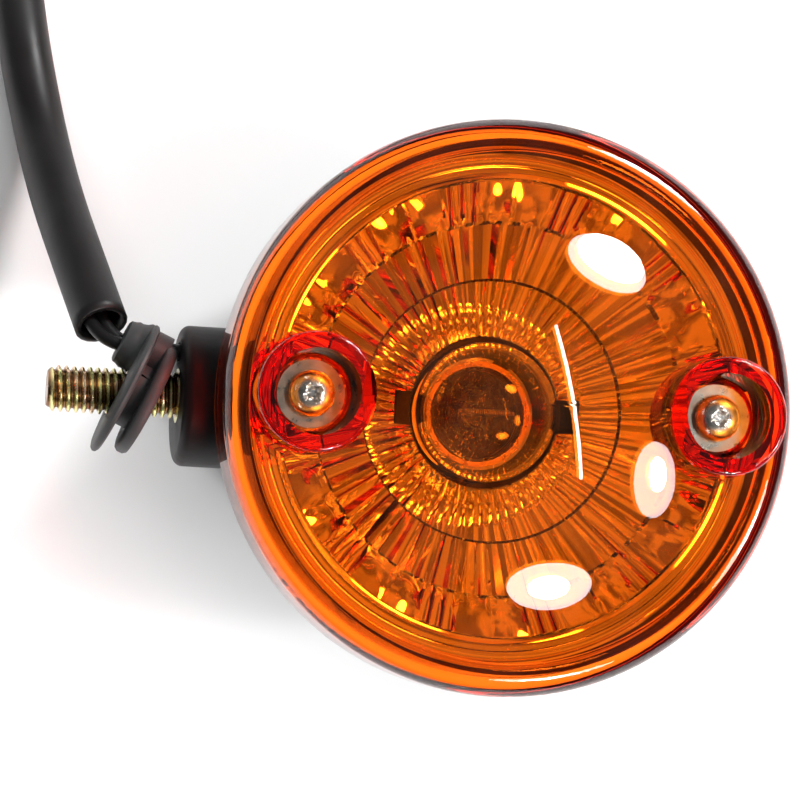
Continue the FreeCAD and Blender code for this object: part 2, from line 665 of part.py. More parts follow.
def contact_spring():
    """Coil between the terminal and the carrier; its wire has flats all round."""
    rise = CARRIER_Z - SPRING_Z - 2 * SPRING_WIRE_R
    steps = SPRING_TURNS * SPRING_STEPS
    points = []
    for i in range(steps + 1):
        turn = 2 * math.pi * i / SPRING_STEPS
        z = SPRING_Z + SPRING_WIRE_R + rise * i / steps
        points.append(V(SPRING_R * math.cos(turn), SPRING_R * math.sin(turn), z))
    coil = Part.BSplineCurve()
    coil.interpolate(points)
    path = Part.Wire([coil.toShape()])
    heading = coil.tangent(coil.FirstParameter)[0]
    ring = Part.Circle(points[0], heading, SPRING_WIRE_R)
    corners = [ring.value(2 * math.pi * i / SPRING_FLATS) for i in range(SPRING_FLATS)]
    section = Part.makePolygon(corners + corners[:1])
    return path.makePipeShell([section], True, True)


def contact_carrier():
    return tube(CARRIER_R, CONTACT_R, CARRIER_T, (0, 0, CARRIER_Z))


def contact_rivet():
    return cyl(CONTACT_R, CARRIER_T + RIVET_STEM, (0, 0, CARRIER_Z))


def bulb_glass():
    """Hollow ball with a short neck that stands in the cap."""
    low_z = CAP_TOP_Z - CAP_COLLAR_H
    neck_in = BULB_NECK_R - GLASS_WALL
    ball_in = BULB_R - GLASS_WALL
    join_z = BULB_Z - math.sqrt(BULB_R ** 2 - BULB_NECK_R ** 2)
    join_in_z = BULB_Z - math.sqrt(ball_in ** 2 - neck_in ** 2)
    return turned([
        line((BULB_NECK_R, low_z), (BULB_NECK_R, join_z)),
        arc((BULB_NECK_R, join_z), (BULB_R, BULB_Z), (0, BULB_Z + BULB_R)),
        line((0, BULB_Z + BULB_R), (0, BULB_Z + ball_in)),
        arc((0, BULB_Z + ball_in), (ball_in, BULB_Z), (neck_in, join_in_z)),
        line((neck_in, join_in_z), (neck_in, low_z)),
        line((neck_in, low_z), (BULB_NECK_R, low_z)),
    ])


def bulb_cap():
    shell = tube(CAP_R, CAP_R - CAP_WALL, CAP_H, (0, 0, CAP_BOTTOM_Z))
    collar = tube(CAP_R, BULB_NECK_R, CAP_COLLAR_H, (0, 0, CAP_TOP_Z - CAP_COLLAR_H))
    return shell.fuse(collar).removeSplitter()


def bulb_pins():
    """Two bayonet pins, trimmed to the cap's round side."""
    pin = cyl(PIN_R, PIN_REACH + PIN_ROOT, (0, CAP_R - PIN_ROOT, PIN_Z), V(0, 1, 0))
    pin = pin.cut(cyl(CAP_R, 4 * PIN_R, (0, 0, PIN_Z - 2 * PIN_R)))
    return Part.makeCompound(both_sides(pin))


def bulb_cap_insulator():
    return cyl(CAP_R - CAP_WALL, INSULATOR_H, (0, 0, CAP_BOTTOM_Z))


def bulb_contact():
    dome = Part.makeSphere(CONTACT_R, V(0, 0, CAP_BOTTOM_Z + CONTACT_R - CONTACT_H))
    return dome.common(cyl(CONTACT_R, CONTACT_H, (0, 0, TIP_Z)))


def bulb_mount():
    """Glass stem that carries the filament's leads."""
    low_z = CAP_TOP_Z - STEM_SINK
    flare = Part.makeCone(BULB_NECK_R - GLASS_WALL - 0.2, STEM_R, STEM_FLARE_H, V(0, 0, low_z))
    stem = cyl(STEM_R, BULB_Z - FILAMENT_DROP - low_z, (0, 0, low_z))
    return flare.fuse(stem).removeSplitter()


def filament_leads():
    low_z = BULB_Z - FILAMENT_DROP
    rise = FILAMENT_DROP + FILAMENT_RISE
    leads = []
    for side in (-1, 1):
        rod = cyl(LEAD_WIRE_R, math.hypot(LEAD_SPREAD, rise), (side * LEAD_WIRE_X, 0, low_z),
                  V(side * LEAD_SPREAD, 0, rise).normalize())
        leads.append(rod)
    return Part.makeCompound(leads)


def filament():
    return cyl(FILAMENT_R, 2 * FILAMENT_HALF, (-FILAMENT_HALF, 0, BULB_Z + FILAMENT_RISE + FILAMENT_R),
               V(1, 0, 0))


def grommet():
    """Two flanges joined beside the stud, where the wires pass, with a short boot."""
    grip = GROOVE_W / 2
    along = V(1, 0, 0)
    f1 = Part.makeCylinder(FLANGE_1_R, FLANGE_1_T, V(-grip - FLANGE_1_T, 0, 0), along)
    f2 = Part.makeCylinder(FLANGE_2_R, FLANGE_2_T, V(grip, 0, 0), along)
    f1 = f1.makeFillet(FLANGE_1_T * 0.35, f1.Edges[0:3:2])
    f2 = f2.makeFillet(FLANGE_2_T * 0.3, f2.Edges[0:3:2])
    core_y = WIRE_Y - GROMMET_CORE_INSET
    core = Part.makeCylinder(GROMMET_CORE_R, GROOVE_W + 1.0, V(-grip - 0.5, core_y, 0), along)
    boot = Part.makeCone(GROMMET_CORE_R, BOOT_END_R, BOOT_H,
                         V(-grip - FLANGE_1_T + 0.1, core_y, 0), V(-1, 0, 0))
    solid = f1.fuse([f2, core, boot])
    solid.rotate(V(0, 0, 0), UP, -GROMMET_TILT)
    solid.translate(V(-GROMMET_X, 0, BOSS_Z))
    stud_room = cyl(GROMMET_STUD_HOLE_R, 30, (-GROMMET_X + 15, 0, BOSS_Z), OUT)
    wires = [swept(cord_path(route[:7])[0], WIRE_R + GROMMET_WIRE_GAP) for route in (FEED_ROUTE, GROUND_ROUTE)]
    return solid.cut([stud_room] + wires).removeSplitter()


def bullet(points):
    """Brass bullet on the end of a wire, lying along the wire's last run."""
    end = V(*points[-1])
    heading = V(points[-1][0] - points[-2][0], points[-1][1] - points[-2][1], 0).normalize()
    crimp = Part.makeCylinder(BULLET_CRIMP_R, BULLET_CRIMP_L, end, heading)
    nose_at = end + heading * BULLET_CRIMP_L
    lip = Part.makeCylinder(BULLET_R + BULLET_LIP, 0.9, nose_at, heading)
    body_l = BULLET_L - BULLET_R
    body = Part.makeCylinder(BULLET_R, body_l, nose_at, heading)
    nose = Part.makeSphere(BULLET_R, nose_at + heading * body_l)
    return crimp.fuse([lip, body, nose]).removeSplitter()


def bullet_cover(points):
    """Clear vinyl cover over the crimp and the end of the wire."""
    end = V(*points[-1])
    heading = V(points[-1][0] - points[-2][0], points[-1][1] - points[-2][1], 0).normalize()
    start = end - heading * (COVER_L - BULLET_CRIMP_L)
    skin = Part.makeCylinder(COVER_R, COVER_L, start, heading)
    return skin.cut(Part.makeCylinder(COVER_R - COVER_WALL, COVER_L + 2, start - heading, heading))


def build():
    return {
        "housing": housing(),
        "lens_gasket": lens_gasket(),
        "thread_inserts": thread_inserts(),
        "lens": lens(),
        "lens_screw_left": lens_screw(-SCREW_X),
        "lens_screw_right": lens_screw(SCREW_X),
        "screw_washer_left": screw_washer(-SCREW_X),
        "screw_washer_right": screw_washer(SCREW_X),
        "reflector": reflector(),
        "mounting_stud": mounting_stud(),
        "socket_shell": socket_shell(),
        "socket_base": socket_base(),
        "feed_terminal": feed_terminal(),
        "ground_terminal": ground_terminal(),
        "contact_spring": contact_spring(),
        "contact_carrier": contact_carrier(),
        "contact_rivet": contact_rivet(),
        "bulb_glass": bulb_glass(),
        "bulb_cap": bulb_cap(),
        "bulb_pins": bulb_pins(),
        "bulb_cap_insulator": bulb_cap_insulator(),
        "bulb_contact": bulb_contact(),
        "bulb_mount": bulb_mount(),
        "filament_leads": filament_leads(),
        "filament": filament(),
        "grommet": grommet(),
        "inner_feed_wire": cord("inner_feed_wire", INNER_FEED_ROUTE, WIRE_R),
        "inner_ground_wire": cord("inner_ground_wire", INNER_GROUND_ROUTE, WIRE_R),
        "feed_wire": cord("feed_wire", FEED_ROUTE, WIRE_R),
        "ground_wire": cord("ground_wire", GROUND_ROUTE, WIRE_R),
        "lead_sleeve": cord("lead_sleeve", LEAD, SLEEVE_R, SLEEVE_BORE_R),
        "feed_bullet": bullet(FEED_ROUTE),
        "ground_bullet": bullet(GROUND_ROUTE),
        "feed_bullet_cover": bullet_cover(FEED_ROUTE),
        "ground_bullet_cover": bullet_cover(GROUND_ROUTE),
    }


def main():
    os.makedirs("parts", exist_ok=True)
    for name, shape in build().items():
        assert shape.isValid(), name
        shape.exportStep(os.path.join("parts", name + ".step"))
        print(name, len(shape.Solids), round(shape.Volume, 1))


main()
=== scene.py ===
"""Looks of a round amber turn signal lamp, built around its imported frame.

Everything is in metres, in the frame's own axes: +Z out through the lens, -X along the mounting stud.
"""

from __future__ import annotations

import logging
import math
from dataclasses import dataclass, field
from enum import Enum
from typing import Iterable, Sequence

import bmesh
import bpy
from mathutils import Matrix, Vector


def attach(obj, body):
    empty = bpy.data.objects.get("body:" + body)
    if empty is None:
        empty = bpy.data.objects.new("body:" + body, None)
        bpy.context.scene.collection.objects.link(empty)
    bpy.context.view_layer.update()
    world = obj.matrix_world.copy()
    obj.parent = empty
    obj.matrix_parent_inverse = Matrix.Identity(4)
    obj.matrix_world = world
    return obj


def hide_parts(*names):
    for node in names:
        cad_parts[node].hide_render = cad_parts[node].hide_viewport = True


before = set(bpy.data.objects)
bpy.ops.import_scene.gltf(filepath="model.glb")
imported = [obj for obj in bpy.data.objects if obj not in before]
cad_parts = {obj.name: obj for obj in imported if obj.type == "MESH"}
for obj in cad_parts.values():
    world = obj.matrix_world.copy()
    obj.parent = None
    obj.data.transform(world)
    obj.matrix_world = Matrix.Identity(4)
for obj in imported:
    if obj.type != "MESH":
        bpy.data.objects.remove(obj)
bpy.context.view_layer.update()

LOG = logging.getLogger("turn_signal")
MM = 0.001
TAU = math.tau
MERGE = 1e-7  # points nearer than this, in metres, are one point
ROUND_STEPS = 48  # segments round a plain shank or hole
SCREW_X = 25.6  # how far the lens screws stand from its axis, in mm
Point2 = tuple[float, float]
Point3 = tuple[float, float, float]
Colour = tuple[float, float, float, float]


# ---------------------------------------------------------------- mesh helpers
def spun(profile: Sequence[Point2], steps: int, closed: bool = False,
         at: Point3 = (0.0, 0.0, 0.0)) -> bmesh.types.BMesh:
    """A surface of revolution about the Z axis.

    Args:
        profile: Outline as (r, z) points in mm.
        steps: Segments round the axis.
        closed: Whether the last point joins the first.
        at: Where the axis stands, in mm.

    Returns:
        A new bmesh in metres with its doubles merged and its faces outwards.
    """
    bm = bmesh.new()
    verts = [bm.verts.new((r * MM, 0.0, z * MM)) for r, z in profile]
    edges = [bm.edges.new(pair) for pair in zip(verts, verts[1:])]
    if closed:
        edges.append(bm.edges.new((verts[-1], verts[0])))
    bmesh.ops.spin(bm, geom=verts + edges, cent=(0, 0, 0), axis=(0, 0, 1), dvec=(0, 0, 0),
                   angle=TAU, steps=steps, use_merge=True, use_duplicate=False)
    bmesh.ops.remove_doubles(bm, verts=bm.verts, dist=MERGE)
    bmesh.ops.dissolve_degenerate(bm, edges=bm.edges, dist=MERGE)
    bmesh.ops.recalc_face_normals(bm, faces=bm.faces)
    bmesh.ops.translate(bm, verts=bm.verts, vec=Vector(at) * MM)
    return bm


def to_object(bm: bmesh.types.BMesh, name: str, sharp: float | None = 35.0) -> bpy.types.Object:
    """Turns a bmesh into a linked object, smooth but for edges over an angle.

    Args:
        bm: The shape, which is freed.
        name: Name of the piece.
        sharp: Edges turning by more than this many degrees stay sharp; None smooths all.

    Returns:
        The new object at the origin.
    """
    mesh = bpy.data.meshes.new(name)
    for face in bm.faces:
        face.smooth = True
    if sharp is not None:
        for edge in bm.edges:
            if len(edge.link_faces) == 2 and edge.calc_face_angle(0.0) > math.radians(sharp):
                edge.smooth = False
    bm.to_mesh(mesh)
    bm.free()
    piece = bpy.data.objects.new(name, mesh)
    bpy.context.scene.collection.objects.link(piece)
    return piece


def with_modifiers(piece: bpy.types.Object, name: str, sharp: float | None = 35.0) -> bpy.types.Object:
    """Applies an object's modifiers into a fresh piece.

    Args:
        piece: The object with live modifiers, which is removed.
        name: Name of the finished piece.
        sharp: As in to_object.

    Returns:
        The finished piece.
    """
    bpy.context.view_layer.update()
    graph = bpy.context.evaluated_depsgraph_get()
    mesh = bpy.data.meshes.new_from_object(piece.evaluated_get(graph))
    bm = bmesh.new()
    bm.from_mesh(mesh)
    bpy.data.objects.remove(piece)
    bpy.data.meshes.remove(mesh)
    bmesh.ops.remove_doubles(bm, verts=bm.verts, dist=MERGE)
    return to_object(bm, name, sharp)


def combined(base: bpy.types.Object, tools: Iterable[tuple[str, bpy.types.Object]], name: str,
             sharp: float | None = 35.0) -> bpy.types.Object:
    """Boolean joins and cuts, one after the other.

    Args:
        base: The shape to start from.
        tools: Pairs of UNION, DIFFERENCE or INTERSECT and the other shape.
        name: Name of the finished piece.
        sharp: As in to_object.

    Returns:
        The finished piece; the tools are removed.
    """
    spent = []
    for operation, tool in tools:
        step = base.modifiers.new(operation.lower(), "BOOLEAN")
        step.operation = operation
        step.object = tool
        step.solver = "EXACT"
        spent.append(tool)
    done = with_modifiers(base, name, sharp)
    for tool in spent:
        bpy.data.objects.remove(tool)
    return done


def joined(pieces: Sequence[bmesh.types.BMesh]) -> bmesh.types.BMesh:
    """Puts several shapes into one bmesh, side by side.

    Args:
        pieces: The shapes, which are freed.

    Returns:
        The bmesh that holds them all.
    """
    whole = bmesh.new()
    for piece in pieces:
        mesh = bpy.data.meshes.new("part")
        piece.to_mesh(mesh)
        piece.free()
        whole.from_mesh(mesh)
        bpy.data.meshes.remove(mesh)
    return whole


# ---------------------------------------------------------------- node helpers
class Shader:
    """A material's node tree with short ways to add and join nodes."""

    def __init__(self, name: str) -> None:
        """Starts an empty material.

        Args:
            name: The material's name.
        """
        self.material = bpy.data.materials.new(name)
        self.material.use_nodes = True
        self.tree = self.material.node_tree
        self.tree.nodes.clear()
        self.output = self.tree.nodes.new("ShaderNodeOutputMaterial")
        self.surface = self.tree.nodes.new("ShaderNodeBsdfPrincipled")
        self.join(self.surface.outputs[0], self.output.inputs["Surface"])

    def node(self, kind: str, **values: object) -> bpy.types.Node:
        """Adds a node and sets its sockets by name, or its own properties.

        Args:
            kind: The node's type.
            **values: Socket or property values; spaces in names are underscores.

        Returns:
            The node.
        """
        made = self.tree.nodes.new(kind)
        for key, value in values.items():
            label = key.replace("_", " ")
            if hasattr(made, key) and key.islower():
                setattr(made, key, value)
            else:
                made.inputs[label].default_value = value
        return made

    def join(self, source: bpy.types.NodeSocket, target: bpy.types.NodeSocket) -> None:
        """Links two sockets."""
        self.tree.links.new(source, target)

    def set(self, **values: object) -> None:
        """Sets plain values on the Principled shader's own sockets.

        Args:
            **values: Socket values; spaces in names are underscores.
        """
        for key, value in values.items():
            self.surface.inputs[key.replace("_", " ")].default_value = value

    def place(self, scale: Point3 = (1.0, 1.0, 1.0)) -> bpy.types.NodeSocket:
        """Adds object coordinates.

        Args:
            scale: How much each axis is stretched.

        Returns:
            The coordinates' socket.
        """
        coords = self.node("ShaderNodeTexCoord")
        mapping = self.node("ShaderNodeMapping")
        mapping.inputs["Scale"].default_value = scale
        self.join(coords.outputs["Object"], mapping.inputs["Vector"])
        return mapping.outputs["Vector"]

    def bump(self, height: bpy.types.NodeSocket, strength: float, distance: float) -> None:
        """Feeds a height into the shader's normal.

        Args:
            height: The height's socket.
            strength: How strongly it shows.
            distance: Depth in metres for a height of 1.
        """
        node = self.node("ShaderNodeBump", Strength=strength, Distance=distance)
        self.join(height, node.inputs["Height"])
        self.join(node.outputs["Normal"], self.surface.inputs["Normal"])

    def group(self, tree: bpy.types.NodeTree, **values: float) -> bpy.types.Node:
        """Places a shared node group.

        Args:
            tree: The group.
            **values: Its socket values; spaces in names are underscores.

        Returns:
            The group's node.
        """
        made = self.tree.nodes.new("ShaderNodeGroup")
        made.node_tree = tree
        for key, value in values.items():
            made.inputs[key.replace("_", " ")].default_value = value
        return made


def colour_mix(shader: Shader) -> tuple[bpy.types.Node, dict[str, bpy.types.NodeSocket],
                                        bpy.types.NodeSocket]:
    """Adds a node that mixes two colours.

    Args:
        shader: The material's tree.

    Returns:
        The node, its colour inputs by name, and its colour output.
    """
    mix = shader.node("ShaderNodeMix", data_type="RGBA")
    inputs = {socket.name: socket for socket in mix.inputs if socket.type == "RGBA"}
    result = [socket for socket in mix.outputs if socket.type == "RGBA"][0]
    return mix, inputs, result


def new_group(name: str, inputs: Sequence[tuple[str, str, object]],
              outputs: Sequence[tuple[str, str]]) -> bpy.types.NodeTree:
    """An empty shader node group with named sockets.

    Args:
        name: The group's name.
        inputs: (name, socket type, default) of each input.
        outputs: (name, socket type) of each output.

    Returns:
        The group, with its input and output nodes in place.
    """
    tree = bpy.data.node_groups.new(name, "ShaderNodeTree")
    for label, kind, default in inputs:
        socket = tree.interface.new_socket(name=label, in_out="INPUT", socket_type=kind)
        if default is not None:
            socket.default_value = default
    for label, kind in outputs:
        tree.interface.new_socket(name=label, in_out="OUTPUT", socket_type=kind)
    tree.nodes.new("NodeGroupInput").name = "in"
    tree.nodes.new("NodeGroupOutput").name = "out"
    return tree


def mottle_group() -> bpy.types.NodeTree:
    """Makes soft, layered noise for colour and gloss that vary over a surface.

    Returns:
        The group.
    """
    layers = 5.0
    low, high = 0.3, 0.7  # where the noise is cut off to fill the range
    tree = new_group("mottle", [("Vector", "NodeSocketVector", None), ("Scale", "NodeSocketFloat", 200.0),
                                ("Low", "NodeSocketFloat", 0.0), ("High", "NodeSocketFloat", 1.0)],
                     [("Value", "NodeSocketFloat")])
    source = tree.nodes["in"]
    noise = tree.nodes.new("ShaderNodeTexNoise")
    noise.inputs["Detail"].default_value = layers
    spread = tree.nodes.new("ShaderNodeMapRange")
    spread.inputs["From Min"].default_value = low
    spread.inputs["From Max"].default_value = high
    tree.links.new(source.outputs["Vector"], noise.inputs["Vector"])
    tree.links.new(source.outputs["Scale"], noise.inputs["Scale"])
    tree.links.new(noise.outputs["Fac"], spread.inputs["Value"])
    tree.links.new(source.outputs["Low"], spread.inputs["To Min"])
    tree.links.new(source.outputs["High"], spread.inputs["To Max"])
    tree.links.new(spread.outputs["Result"], tree.nodes["out"].inputs["Value"])
    return tree


MOTTLE = mottle_group()


# ---------------------------------------------------------------- studio
@dataclass(frozen=True)
class Camera:
    """Where the lamp is looked at from, in metres."""

    place: Point3 = (-0.0913, -0.0247, 0.489)
    aim: Point3 = (-0.0135, 0.0002, 0.045)
    roll: float = 2.92
    focal: float = 163.3
    sensor: float = 36.0
    reach: tuple[float, float] = (0.01, 20.0)

    def build(self) -> bpy.types.Object:
        """Makes the camera and sets it as the scene's.

        Returns:
            The camera.
        """
        data = bpy.data.cameras.new("camera")
        data.lens = self.focal
        data.sensor_width = self.sensor
        data.clip_start, data.clip_end = self.reach
        camera = bpy.data.objects.new("camera", data)
        back = (Vector(self.place) - Vector(self.aim)).normalized()
        right = Vector((0, 1, 0)).cross(back).normalized()
        above = back.cross(right)
        turn = math.radians(self.roll)
        side = right * math.cos(turn) + above * math.sin(turn)
        top = above * math.cos(turn) - right * math.sin(turn)
        basis = Matrix((side, top, back)).transposed().to_4x4()
        camera.matrix_world = Matrix.Translation(self.place) @ basis
        bpy.context.scene.collection.objects.link(camera)
        bpy.context.scene.camera = camera
        return camera


POWER_PER_AREA = 4.0  # an area lamp's power for a glow of 1 and a face of 1 square metre


@dataclass(frozen=True)
class SoftBox:
    """A round or long lamp, which glossy surfaces mirror unless it says otherwise."""

    name: str
    towards: Point3
    along: Point3
    size: tuple[float, float]
    glow: float
    shape: str = "ELLIPSE"
    distance: float = 1.0
    mirrored: bool = True

    def build(self, aim: Point3 = (0.0, 0.0, 0.057)) -> bpy.types.Object:
        """Places the lamp so that it faces the lens.

        Args:
            aim: What the lamp faces.

        Returns:
            The lamp.
        """
        data = bpy.data.lights.new(self.name, "AREA")
        data.shape = self.shape
        data.size, data.size_y = self.size
        share = math.pi / 4 if self.shape == "ELLIPSE" else 1.0
        data.energy = self.glow * POWER_PER_AREA * self.size[0] * self.size[1] * share
        lamp = bpy.data.objects.new(self.name, data)
        back = Vector(self.towards).normalized()
        side = Vector(self.along)
        side = (side - back * side.dot(back)).normalized()
        basis = Matrix((side, back.cross(side), back)).transposed().to_4x4()
        lamp.matrix_world = Matrix.Translation(Vector(aim) + back * self.distance) @ basis
        lamp.visible_glossy = self.mirrored
        lamp.visible_transmission = self.mirrored
        bpy.context.scene.collection.objects.link(lamp)
        return lamp


SOFT_BOXES = (
    SoftBox("upper_core", (0.491, 0.604, 0.628), (0.285, -0.134, -0.095), (0.28, 0.18), 46.0),
    SoftBox("upper_halo", (0.480, 0.590, 0.650), (0.285, -0.134, -0.095), (0.34, 0.23), 13.0, distance=1.03),
    SoftBox("lower_core", (0.330, -0.639, 0.695), (0.329, 0.055, -0.108), (0.17, 0.10), 60.0),
    SoftBox("lower_halo", (0.333, -0.636, 0.698), (0.329, 0.055, -0.108), (0.36, 0.21), 13.0, distance=1.03),
    SoftBox("right_core", (0.710, -0.180, 0.685), (0.012, -0.279, -0.095), (0.13, 0.08), 60.0),
    SoftBox("right_halo", (0.699, -0.200, 0.688), (0.012, -0.279, -0.095), (0.30, 0.20), 11.0, distance=1.03),
    SoftBox("strip", (0.357, 0.067, 0.874), (0.140, -0.632, -0.009), (0.65, 0.014), 36.0, "RECTANGLE"),
    SoftBox("key", (-0.35, 0.45, 1.0), (1.0, 0.0, 0.0), (1.0, 1.0), 2.2, distance=1.4, mirrored=False),
    SoftBox("fill", (0.55, -0.45, 0.9), (1.0, 0.0, 0.0), (1.2, 1.2), 1.6, distance=1.4, mirrored=False),
)


@dataclass(frozen=True)
class Studio:
    """Pale floor, surroundings in bright and dim patches, and the soft boxes.

    The surroundings are through times brighter to light that has just come through something clear. This
    lights the reflector under the lens more than real surroundings would, and leaves what the lens mirrors
    as it is. It belongs to the studio, not to the lamp: in even light the reflector looks darker.
    """

    floor_half: float = 3.0
    floor_white: Colour = (0.93, 0.93, 0.93, 1.0)
    floor_rough: float = 0.9
    bright: float = 2.7
    dim: float = 0.8
    edges: tuple[float, float] = (0.42, 0.56)
    horizon: float = 1.3
    horizon_top: float = 0.3
    through: float = 6.4
    patch: float = 3.6
    layers: float = 2.0
    drift: Point3 = (1.3, 0.7, 2.1)

    def build(self) -> None:
        """Sets up the camera, floor, world and lights."""
        Camera().build()
        self.floor()
        self.world()
        for box in SOFT_BOXES:
            box.build()
        bpy.context.scene.view_settings.view_transform = "Standard"

    def floor(self) -> None:
        """A large pale sheet under the lamp."""
        bm = bmesh.new()
        bmesh.ops.create_grid(bm, x_segments=1, y_segments=1, size=self.floor_half)
        sheet = to_object(bm, "floor")
        shader = Shader("floor_paper")
        shader.set(Base_Color=self.floor_white, Roughness=self.floor_rough)
        sheet.data.materials.append(shader.material)

    def world(self) -> None:
        """Makes the patches, the horizon's own level and the lift for light through the lens."""
        world = bpy.data.worlds.new("surroundings")
        world.use_nodes = True
        tree = world.node_tree
        coords = tree.nodes.new("ShaderNodeTexCoord")
        split = tree.nodes.new("ShaderNodeSeparateXYZ")
        noise = tree.nodes.new("ShaderNodeTexNoise")
        noise.inputs["Scale"].default_value = self.patch
        noise.inputs["Detail"].default_value = self.layers
        patches = tree.nodes.new("ShaderNodeMapRange")
        patches.inputs["From Min"].default_value = self.edges[0]
        patches.inputs["From Max"].default_value = self.edges[1]
        patches.inputs["To Min"].default_value = self.dim
        patches.inputs["To Max"].default_value = self.bright
        horizon = tree.nodes.new("ShaderNodeMapRange")
        horizon.inputs["From Max"].default_value = self.horizon_top
        horizon.inputs["To Min"].default_value = self.horizon
        horizon.inputs["To Max"].default_value = 0.0
        glow = tree.nodes.new("ShaderNodeMath")
        glow.operation = "MAXIMUM"
        tree.links.new(coords.outputs["Generated"], split.inputs["Vector"])
        drift = tree.nodes.new("ShaderNodeMapping")
        drift.inputs["Location"].default_value = self.drift
        tree.links.new(coords.outputs["Generated"], drift.inputs["Vector"])
        tree.links.new(drift.outputs["Vector"], noise.inputs["Vector"])
        tree.links.new(noise.outputs["Fac"], patches.inputs["Value"])
        tree.links.new(split.outputs["Z"], horizon.inputs["Value"])
        tree.links.new(patches.outputs["Result"], glow.inputs[0])
        tree.links.new(horizon.outputs["Result"], glow.inputs[1])
        path = tree.nodes.new("ShaderNodeLightPath")
        lift = tree.nodes.new("ShaderNodeMapRange")
        lift.inputs["To Min"].default_value = 1.0
        lift.inputs["To Max"].default_value = self.through
        level = tree.nodes.new("ShaderNodeMath")
        level.operation = "MULTIPLY"
        tree.links.new(path.outputs["Is Transmission Ray"], lift.inputs["Value"])
        tree.links.new(lift.outputs["Result"], level.inputs[0])
        tree.links.new(glow.outputs["Value"], level.inputs[1])
        tree.links.new(level.outputs["Value"], tree.nodes["Background"].inputs["Strength"])
        bpy.context.scene.world = world


# ---------------------------------------------------------------- finishes
def radius_mask_group() -> bpy.types.NodeTree:
    """Makes a mask of a vector's length, from 0 at one radius to 1 at another.

    Returns:
        The group.
    """
    tree = new_group("radius_mask", [("Vector", "NodeSocketVector", None), ("Low", "NodeSocketFloat", 0.0),
                                     ("High", "NodeSocketFloat", 1.0)], [("Value", "NodeSocketFloat")])
    source = tree.nodes["in"]
    length = tree.nodes.new("ShaderNodeVectorMath")
    length.operation = "LENGTH"
    spread = tree.nodes.new("ShaderNodeMapRange")
    tree.links.new(source.outputs["Vector"], length.inputs[0])
    tree.links.new(length.outputs["Value"], spread.inputs["Value"])
    tree.links.new(source.outputs["Low"], spread.inputs["From Min"])
    tree.links.new(source.outputs["High"], spread.inputs["From Max"])
    tree.links.new(spread.outputs["Result"], tree.nodes["out"].inputs["Value"])
    return tree


RADIUS_MASK = radius_mask_group()


@dataclass(frozen=True)
class ClearPlastic:
    """See-through moulding that lets the lamps' light through to what it covers."""

    name: str
    tint: Colour
    depth_tint: Colour = (1.0, 1.0, 1.0, 1.0)
    density: float = 0.0
    roughness: float = 0.01
    ior: float = 1.49
    gloss: float = 0.5
    ripple: float = 0.0
    waves: float = 90.0
    swell: float = 0.00002

    def build(self) -> bpy.types.Material:
        """Makes the material.

        Returns:
            The material.
        """
        shader = Shader(self.name)
        shader.set(Base_Color=self.tint, Roughness=self.roughness, IOR=self.ior, Transmission_Weight=1.0,
                   Specular_IOR_Level=self.gloss)
        through = shader.node("ShaderNodeBsdfTransparent")
        through.inputs["Color"].default_value = self.tint
        path = shader.node("ShaderNodeLightPath")
        mix = shader.node("ShaderNodeMixShader")
        shader.join(path.outputs["Is Shadow Ray"], mix.inputs["Fac"])
        shader.join(shader.surface.outputs[0], mix.inputs[1])
        shader.join(through.outputs[0], mix.inputs[2])
        shader.join(mix.outputs[0], shader.output.inputs["Surface"])
        if self.density:
            inside = shader.node("ShaderNodeVolumeAbsorption")
            inside.inputs["Color"].default_value = self.depth_tint
            inside.inputs["Density"].default_value = self.density
            shader.join(inside.outputs[0], shader.output.inputs["Volume"])
        if self.ripple:
            mottle = shader.group(MOTTLE, Scale=self.waves)
            shader.join(shader.place(), mottle.inputs["Vector"])
            shader.bump(mottle.outputs["Value"], self.ripple, self.swell)
        return shader.material


@dataclass(frozen=True)
class Plastic:
    """Opaque moulding with a fine grain and a gloss that varies.

    The patches of colour are broad times coarser than the grain, and those of gloss are sheen times coarser.
    """

    name: str
    colour: Colour
    worn: Colour
    rough: tuple[float, float]
    grain: float = 0.15
    scale: float = 900.0
    gloss: float = 0.28
    broad: float = 9.0
    sheen: float = 5.0
    relief: float = 0.00005

    def build(self) -> bpy.types.Material:
        """Makes the material.

        Returns:
            The material.
        """
        shader = Shader(self.name)
        place = shader.place()
        broad = shader.group(MOTTLE, Scale=self.scale / self.broad)
        fine = shader.group(MOTTLE, Scale=self.scale)
        gloss = shader.group(MOTTLE, Scale=self.scale / self.sheen, Low=self.rough[0], High=self.rough[1])
        mix, colours, result = colour_mix(shader)
        colours["A"].default_value = self.colour
        colours["B"].default_value = self.worn
        for group in (broad, fine, gloss):
            shader.join(place, group.inputs["Vector"])
        shader.join(broad.outputs["Value"], mix.inputs["Factor"])
        shader.join(result, shader.surface.inputs["Base Color"])
        shader.join(gloss.outputs["Value"], shader.surface.inputs["Roughness"])
        shader.bump(fine.outputs["Value"], self.grain, self.relief)
        shader.set(Specular_IOR_Level=self.gloss)
        return shader.material


